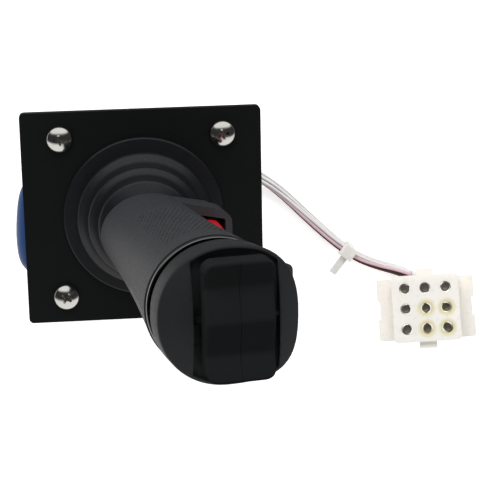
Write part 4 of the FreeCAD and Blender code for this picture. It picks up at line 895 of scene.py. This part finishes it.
lathe_into(work, profile, 144, closed=True)
bmesh.ops.translate(work, verts=work.verts, vec=(0, 0, plate_top))
boot = mesh_object("rubber_boot", work, [boot_rubber])
boot.data.set_sharp_from_angle(angle=math.radians(50))
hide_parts("boot")
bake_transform(boot)


# The grip is two shells moulded in black glass-filled nylon with a fine spark texture, screwed together.
# Each shell has half of the finger guard at its foot and a panel of small raised dots in slanting rows.
# A thin bright line of flash stands where the mould closed, low on the back.
grip_black = finish(
    "grip_black", (0.029, 0.0305, 0.034), 0.50, specular=0.42, mottle=(0.10, 90),
    grain=(1300, 0.035 * mm, 0.07),
)
clad(black_steel, "grip_screws")
thumb = joints["rocker_tilt"]
rocker_offset, rocker_pin_height = 2.5 * mm, 94.8 * mm
handle_across = Vector(thumb["axis"]).normalized()
handle_side = Vector((0, 1, 0))
handle_up = handle_across.cross(handle_side)
handle_foot = Vector(thumb["pos_m"]) - handle_across * rocker_offset - handle_up * rocker_pin_height
handle = placed(handle_foot, handle_across, handle_side, handle_up)
into_handle = handle.inverted()
guard_reach, guard_blend, guard_top, guard_share = 16.6 * mm, 1.6 * mm, 62 * mm, 0.72


def copied(name, node, material):
    """A copy of a CAD node's shape in a finished material."""
    made = linked(name, nodes[node].data.copy())
    made.data.materials.clear()
    made.data.materials.append(material)
    return made


def moved_across(made, side_of):
    """Moves a piece's points across the handle; the rule reads and gives places in the handle's own axes."""
    for vertex in made.data.vertices:
        spot = into_handle @ vertex.co
        side = side_of(spot)
        if side != spot.y:
            spot.y = side
            vertex.co = handle @ spot


def guard_side(spot):
    """The finger guard is drawn in towards the middle, past the place where it leaves the grip."""
    if spot.x <= guard_reach or spot.z >= guard_top:
        return spot.y
    share = min(1.0, (spot.x - guard_reach) / guard_blend)
    return spot.y * (1 - (1 - guard_share) * share)


surfaces = []
for node, name in (("grip_left", "left_shell"), ("grip_right", "right_shell")):
    shell = copied(name, node, grip_black)
    surfaces.append(BVHTree.FromObject(shell, bpy.context.evaluated_depsgraph_get()))
    moved_across(shell, guard_side)
    dress(shell, node, "lever")

dot_pitch, row_pitch, grip_radius = 1.5 * mm, 1.7 * mm, 15.5 * mm
panel_low, panel_high, panel_start, panel_end = 30.0 * mm, 71.0 * mm, 76.0, 131.0
start_lean, end_lean = 8, 6
dot_width, dot_length, dot_height = 0.40 * mm, 0.46 * mm, 0.36 * mm
clear_of_grip = 40 * mm


def dot_places(side):
    """Places and normals of the dots on one side, in slanting rows on the grip's own surface."""
    surface = surfaces[0 if side > 0 else 1]
    places, row, up = [], 0, panel_low
    while up < panel_high:
        share = (up - panel_low) / (panel_high - panel_low)
        angle = panel_start - start_lean * share + (row % 2) * math.degrees(dot_pitch / (2 * grip_radius))
        while angle < panel_end - end_lean * share:
            out = Vector((math.cos(math.radians(angle)), side * math.sin(math.radians(angle)), 0))
            start = handle @ (Vector((0, 0, up)) + out * clear_of_grip)
            hit, normal, _, _ = surface.ray_cast(start, -(handle.to_3x3() @ out))
            if hit is not None:
                places.append((hit, normal))
            angle += math.degrees(dot_pitch / grip_radius)
        up += row_pitch
        row += 1
    return places


def dots(group, given):
    bead = add_node(group, "GeometryNodeMeshIcoSphere", {"Radius": 1.0, "Subdivisions": 2})
    sized = add_node(group, "ShaderNodeCombineXYZ", {
        "X": given["Dot width"], "Y": given["Dot length"], "Z": given["Dot height"],
    })
    formed = add_node(group, "GeometryNodeTransform", {
        "Geometry": bead.outputs["Mesh"], "Scale": sized.outputs[0],
    })
    soft = add_node(group, "GeometryNodeSetShadeSmooth", {0: formed.outputs[0]})
    facing = add_node(group, "GeometryNodeInputNamedAttribute", {"Name": "facing"}, data_type="FLOAT_VECTOR")
    stood = add_node(group, "FunctionNodeAlignRotationToVector", {"Vector": facing.outputs[0]}, axis="Z")
    many = add_node(group, "GeometryNodeInstanceOnPoints", {
        "Points": given["Geometry"], "Instance": soft.outputs[0], "Rotation": stood.outputs[0],
    })
    return many.outputs[0]


for side, name in ((1, "left_dashes"), (-1, "right_dashes")):
    found = dot_places(side)
    points = bpy.data.meshes.new(name)
    points.from_pydata([spot for spot, _ in found], [], [])
    facing = points.attributes.new("facing", "FLOAT_VECTOR", "POINT")
    for item, (_, normal) in zip(facing.data, found):
        item.vector = normal
    dot_inputs = {"Dot width": dot_width, "Dot length": dot_length, "Dot height": dot_height}
    panel = grown(name, dot_inputs, dots, grip_black, host=linked(name, points))
    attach(panel, "lever")

flash_low, flash_high, flash_radius, flash_side, flash_steps = 54.0 * mm, 79.0 * mm, 0.14 * mm, -2.0 * mm, 28
flash_line = []
for k in range(flash_steps + 1):
    up = flash_low + (flash_high - flash_low) * k / flash_steps
    start = handle @ Vector((-clear_of_grip, flash_side, up))
    hits = [surface.ray_cast(start, handle_across)[0] for surface in surfaces]
    flash_line.append(min((hit for hit in hits if hit is not None), key=lambda hit: (hit - start).length))
work = bmesh.new()
tube_into(work, flash_line, flash_radius, sides=8)
# The flash line is drawn in a lighter grey than the grip.
grey_flash_nylon = finish("grey_flash_nylon", (0.16, 0.16, 0.16), 0.55, specular=0.3, grain=(1300, 0.02 * mm, 0.07))
flash = mesh_object("mould_flash", work, [grey_flash_nylon])
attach(flash, "lever")


# The trigger is a slim blade moulded in red glossy plastic, which hangs from a pin under the hood.
# Behind it sit a snap-action switch with a white plunger and a light coil spring that the trigger squashes.
trigger_red = finish(
    "trigger_red", (0.55, 0.010, 0.014), 0.30, mottle=(0.06, 110), grain=(900, 0.012 * mm, 0.05),
    Coat_Weight=0.2,
)
clad(ground_steel, "trigger_pin")
blade_core, flank_share = 4.2 * mm, 0.3


def blade_side(spot):
    """The blade's flanks are drawn in, and its core stays."""
    past_core = abs(spot.y) - blade_core
    return math.copysign(blade_core + past_core * flank_share, spot.y) if past_core > 0 else spot.y


blade = copied("trigger_blade", "trigger", trigger_red)
moved_across(blade, blade_side)
dress(blade, "trigger", "trigger")
trigger_coil = copied("trigger_coil", "trigger_spring", spring_steel)
dress(trigger_coil, "trigger_spring", "lever")
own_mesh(trigger_coil)
switch_black = finish(
    "switch_black", (0.022, 0.022, 0.022), 0.42, specular=0.4, grain=(1000, 0.02 * mm, 0.06)
)
clad(switch_black, "trigger_switch", "rocker_switch")
clad(bright_steel, "switch_screws")
plunger_white = finish("plunger_white", (0.78, 0.77, 0.72), 0.36, grain=(1000, 0.01 * mm, 0.05))
clad(plunger_white, "switch_plunger", "rocker_stem")


# A thin hoop of glossy metal parts the grip from the cap.
# It stands on a flange clamped between the two, with a dark groove inside it.
ring_gloss = finish("ring_gloss", (0.22, 0.22, 0.225), 0.10, metallic=1.0, grain=(500, 0.004 * mm, 0.03))
ring_outer, ring_inner, ring_low, ring_high = 18.1 * mm, 15.9 * mm, 82.3 * mm, 83.8 * mm
ring_round, hoop_inner, groove_floor = 0.34 * mm, 17.4 * mm, 82.8 * mm
profile = [(hoop_inner, groove_floor), (ring_inner, groove_floor), (ring_inner, ring_low)]
profile += arc((ring_outer - ring_round, ring_low + ring_round), ring_round, -90, 0, 8)
profile += arc((ring_outer - ring_round, ring_high - ring_round), ring_round, 0, 180, 12)
work = bmesh.new()
lathe_into(work, profile, 160, closed=True)
ring = mesh_object("gloss_ring", work, [ring_gloss])
ring.data.transform(handle)
dress(ring, "collar_ring", "lever")


# The cap is one moulding in satin black plastic, narrow at its foot and fuller at its rim, with a low crown.
# It is hollow for the rocker's switch, and open across its top in a channel for the thumb rocker.
cap_black = finish(
    "cap_black", (0.018, 0.019, 0.0205), 0.44, specular=0.22, mottle=(0.10, 80), grain=(1100, 0.02 * mm, 0.06)
)
cap_low, rim_height, cap_crown = 84.0 * mm, 94.3 * mm, 97.9 * mm
cap_foot, cap_reach, cap_forward = 16.8 * mm, 18.5 * mm, 1.0 * mm
foot_flare, foot_rise, side_rise = 0.6 * mm, 0.8 * mm, 4.2 * mm
all_round, upper_swell, lower_swell = 0.1, 0.5, 1.3
rim_bend, rim_wall, edge_round, crown_steps = 0.7 * mm, 0.9 * mm, 0.3 * mm, 13
channel_reach, channel_floor = 11.4 * mm, 93.1 * mm
cavity_reach, cavity_high = 15.6 * mm, 91.7 * mm
past_foot, past_crown = 1 * mm, 2 * mm


def round_cap(work, reach, height, sides=160):
    """A ring of points round the cap: a circle at the foot, at the rim fuller on the side of the guard."""
    share = min(1.0, max(0.0, (height - cap_low) / (rim_height - cap_low)))
    row = []
    for x, y in turns(sides):
        swell = upper_swell if y > 0 else lower_swell
        power = 2 + share * (all_round + swell * max(0.0, x) ** 0.5 * abs(y) ** 0.5)
        out = reach / (abs(x) ** power + abs(y) ** power) ** (1 / power)
        row.append(work.verts.new((cap_forward * share + out * x, out * y, height)))
    return row


flat_reach = cap_reach - rim_bend
dome_radius = (flat_reach**2 + (cap_crown - rim_height) ** 2) / (2 * (cap_crown - rim_height))
stations = [(cap_foot, cap_low), (cap_foot + foot_flare, cap_low + foot_rise)]
stations.append((cap_reach, cap_low + side_rise))
stations += arc((flat_reach, rim_height - rim_bend), rim_bend, 0, 75, 6)
for k in range(1, crown_steps):
    reach = flat_reach * (1 - k / crown_steps)
    stations.append((reach, cap_crown - dome_radius + math.sqrt(dome_radius**2 - reach**2)))
work = bmesh.new()
stacked(work, [round_cap(work, reach, height) for reach, height in stations])
cap = mesh_object("cap", work, [cap_black])
channel, rows = bmesh.new(), []
for height in (channel_floor, cap_crown + past_crown):
    rows.append(round_cap(channel, cap_reach - rim_wall, rim_height))
    for corner in rows[-1]:
        across = min(channel_reach, max(-channel_reach, corner.co.x - rocker_offset))
        corner.co = (rocker_offset + across, corner.co.y, height)
stacked(channel, rows)
cavity = bmesh.new()
stacked(cavity, [round_cap(cavity, cavity_reach, height) for height in (cap_low - past_foot, cavity_high)])
cutters = [mesh_object("cap_channel", channel), mesh_object("cap_cavity", cavity)]
for cutter in cutters:
    cut_away(cap, cutter)
round_edges(cap, edge_round, segments=3, least_turn=50)
apply_modifiers(cap, "cap").set_sharp_from_angle(angle=math.radians(40))
cap.data.transform(handle)
for cutter in cutters:
    bpy.data.objects.remove(cutter)
dress(cap, "cap_housing", "lever")


# The thumb rocker is one moulding with two shallow dishes and a ridge between them, lofted along its length.
# Its rim is rounded all round, a fine parting line runs along its middle, and it rocks on a steel pin.
rocker_black = finish(
    "rocker_black", (0.0135, 0.0142, 0.0148), 0.50, specular=0.0, mottle=(0.10, 90),
    grain=(1100, 0.015 * mm, 0.05),
)
pin_reach, pin_radius = 11.8 * mm, 1.2 * mm
rocker_half_width, rocker_half_length, plan_corner, rim_round = 9.2 * mm, 15.8 * mm, 3.0 * mm, 1.1 * mm
skirt, crown, valley_drop, ridge_drop, valley_place = 95.6 * mm, 101.6 * mm, 2.6 * mm, 0.5 * mm, 8.9 * mm
valley_ease, ridge_blend, ridge_ease = 0.165 * mm, 0.55 * mm, 0.12
parting_width, parting_depth, parting_ease = 0.10 * mm, 0.16 * mm, 0.02 * mm
rim_steps, half_steps = 6, 60

# The pin is drawn near-black: painted shade, for the shaded channel that it crosses.
pin_work = bmesh.new()
pin_line = [Vector((rocker_offset + side * pin_reach, 0, rocker_pin_height)) for side in (-1, 1)]
tube_into(pin_work, pin_line, pin_radius, sides=24)
thumb_pin = mesh_object("thumb_pin", pin_work, [black_steel])
thumb_pin.data.transform(handle)
dress(thumb_pin, "rocker_pin", "lever")


def crown_height(v):
    """The height of the rocker's back at a place along it, with a small radius at each bend."""
    away = abs(v)
    outer = crown - valley_drop * (rocker_half_length - away) / (rocker_half_length - valley_place)
    inner = crown - ridge_drop - (valley_drop - ridge_drop) * away / valley_place
    met = max(outer, inner) + math.log1p(math.exp(-abs(outer - inner) / valley_ease)) * valley_ease
    return met - max(0.0, ridge_blend - away) ** 2 / ridge_blend * ridge_ease


def rocker_section(v):
    """The outline across the rocker at a place along it: skirt, rounded rim, back and parting line."""
    past_corner = max(0.0, abs(v) - (rocker_half_length - plan_corner))
    half = rocker_half_width - plan_corner + math.sqrt(max(plan_corner**2 - past_corner**2, 0))
    half = max(half, parting_width * 3 + rim_round)
    past_rim = max(0.0, abs(v) - (rocker_half_length - rim_round))
    top = crown_height(v) - rim_round + math.sqrt(max(rim_round**2 - past_rim**2, 0))
    flank = [(half, skirt)] + arc((half - rim_round, top - rim_round), rim_round, 0, 90, rim_steps)
    flank += [(parting_width * 2, top), (parting_width, top - parting_ease)]
    return flank + [(0.0, top - parting_depth)] + [(-u, w) for u, w in reversed(flank)]


work = bmesh.new()
rows = []
for k in range(-half_steps, half_steps + 1):
    v = rocker_half_length * math.sin(math.pi / 2 * k / half_steps)
    rows.append([work.verts.new((rocker_offset + u, v, w)) for u, w in rocker_section(v)])
stacked(work, rows)
rocker_cover = mesh_object("rocker_cover", work, [rocker_black])
rocker_cover.data.set_sharp_from_angle(angle=math.radians(24))
rocker_cover.data.transform(handle)
dress(rocker_cover, "rocker", "rocker")
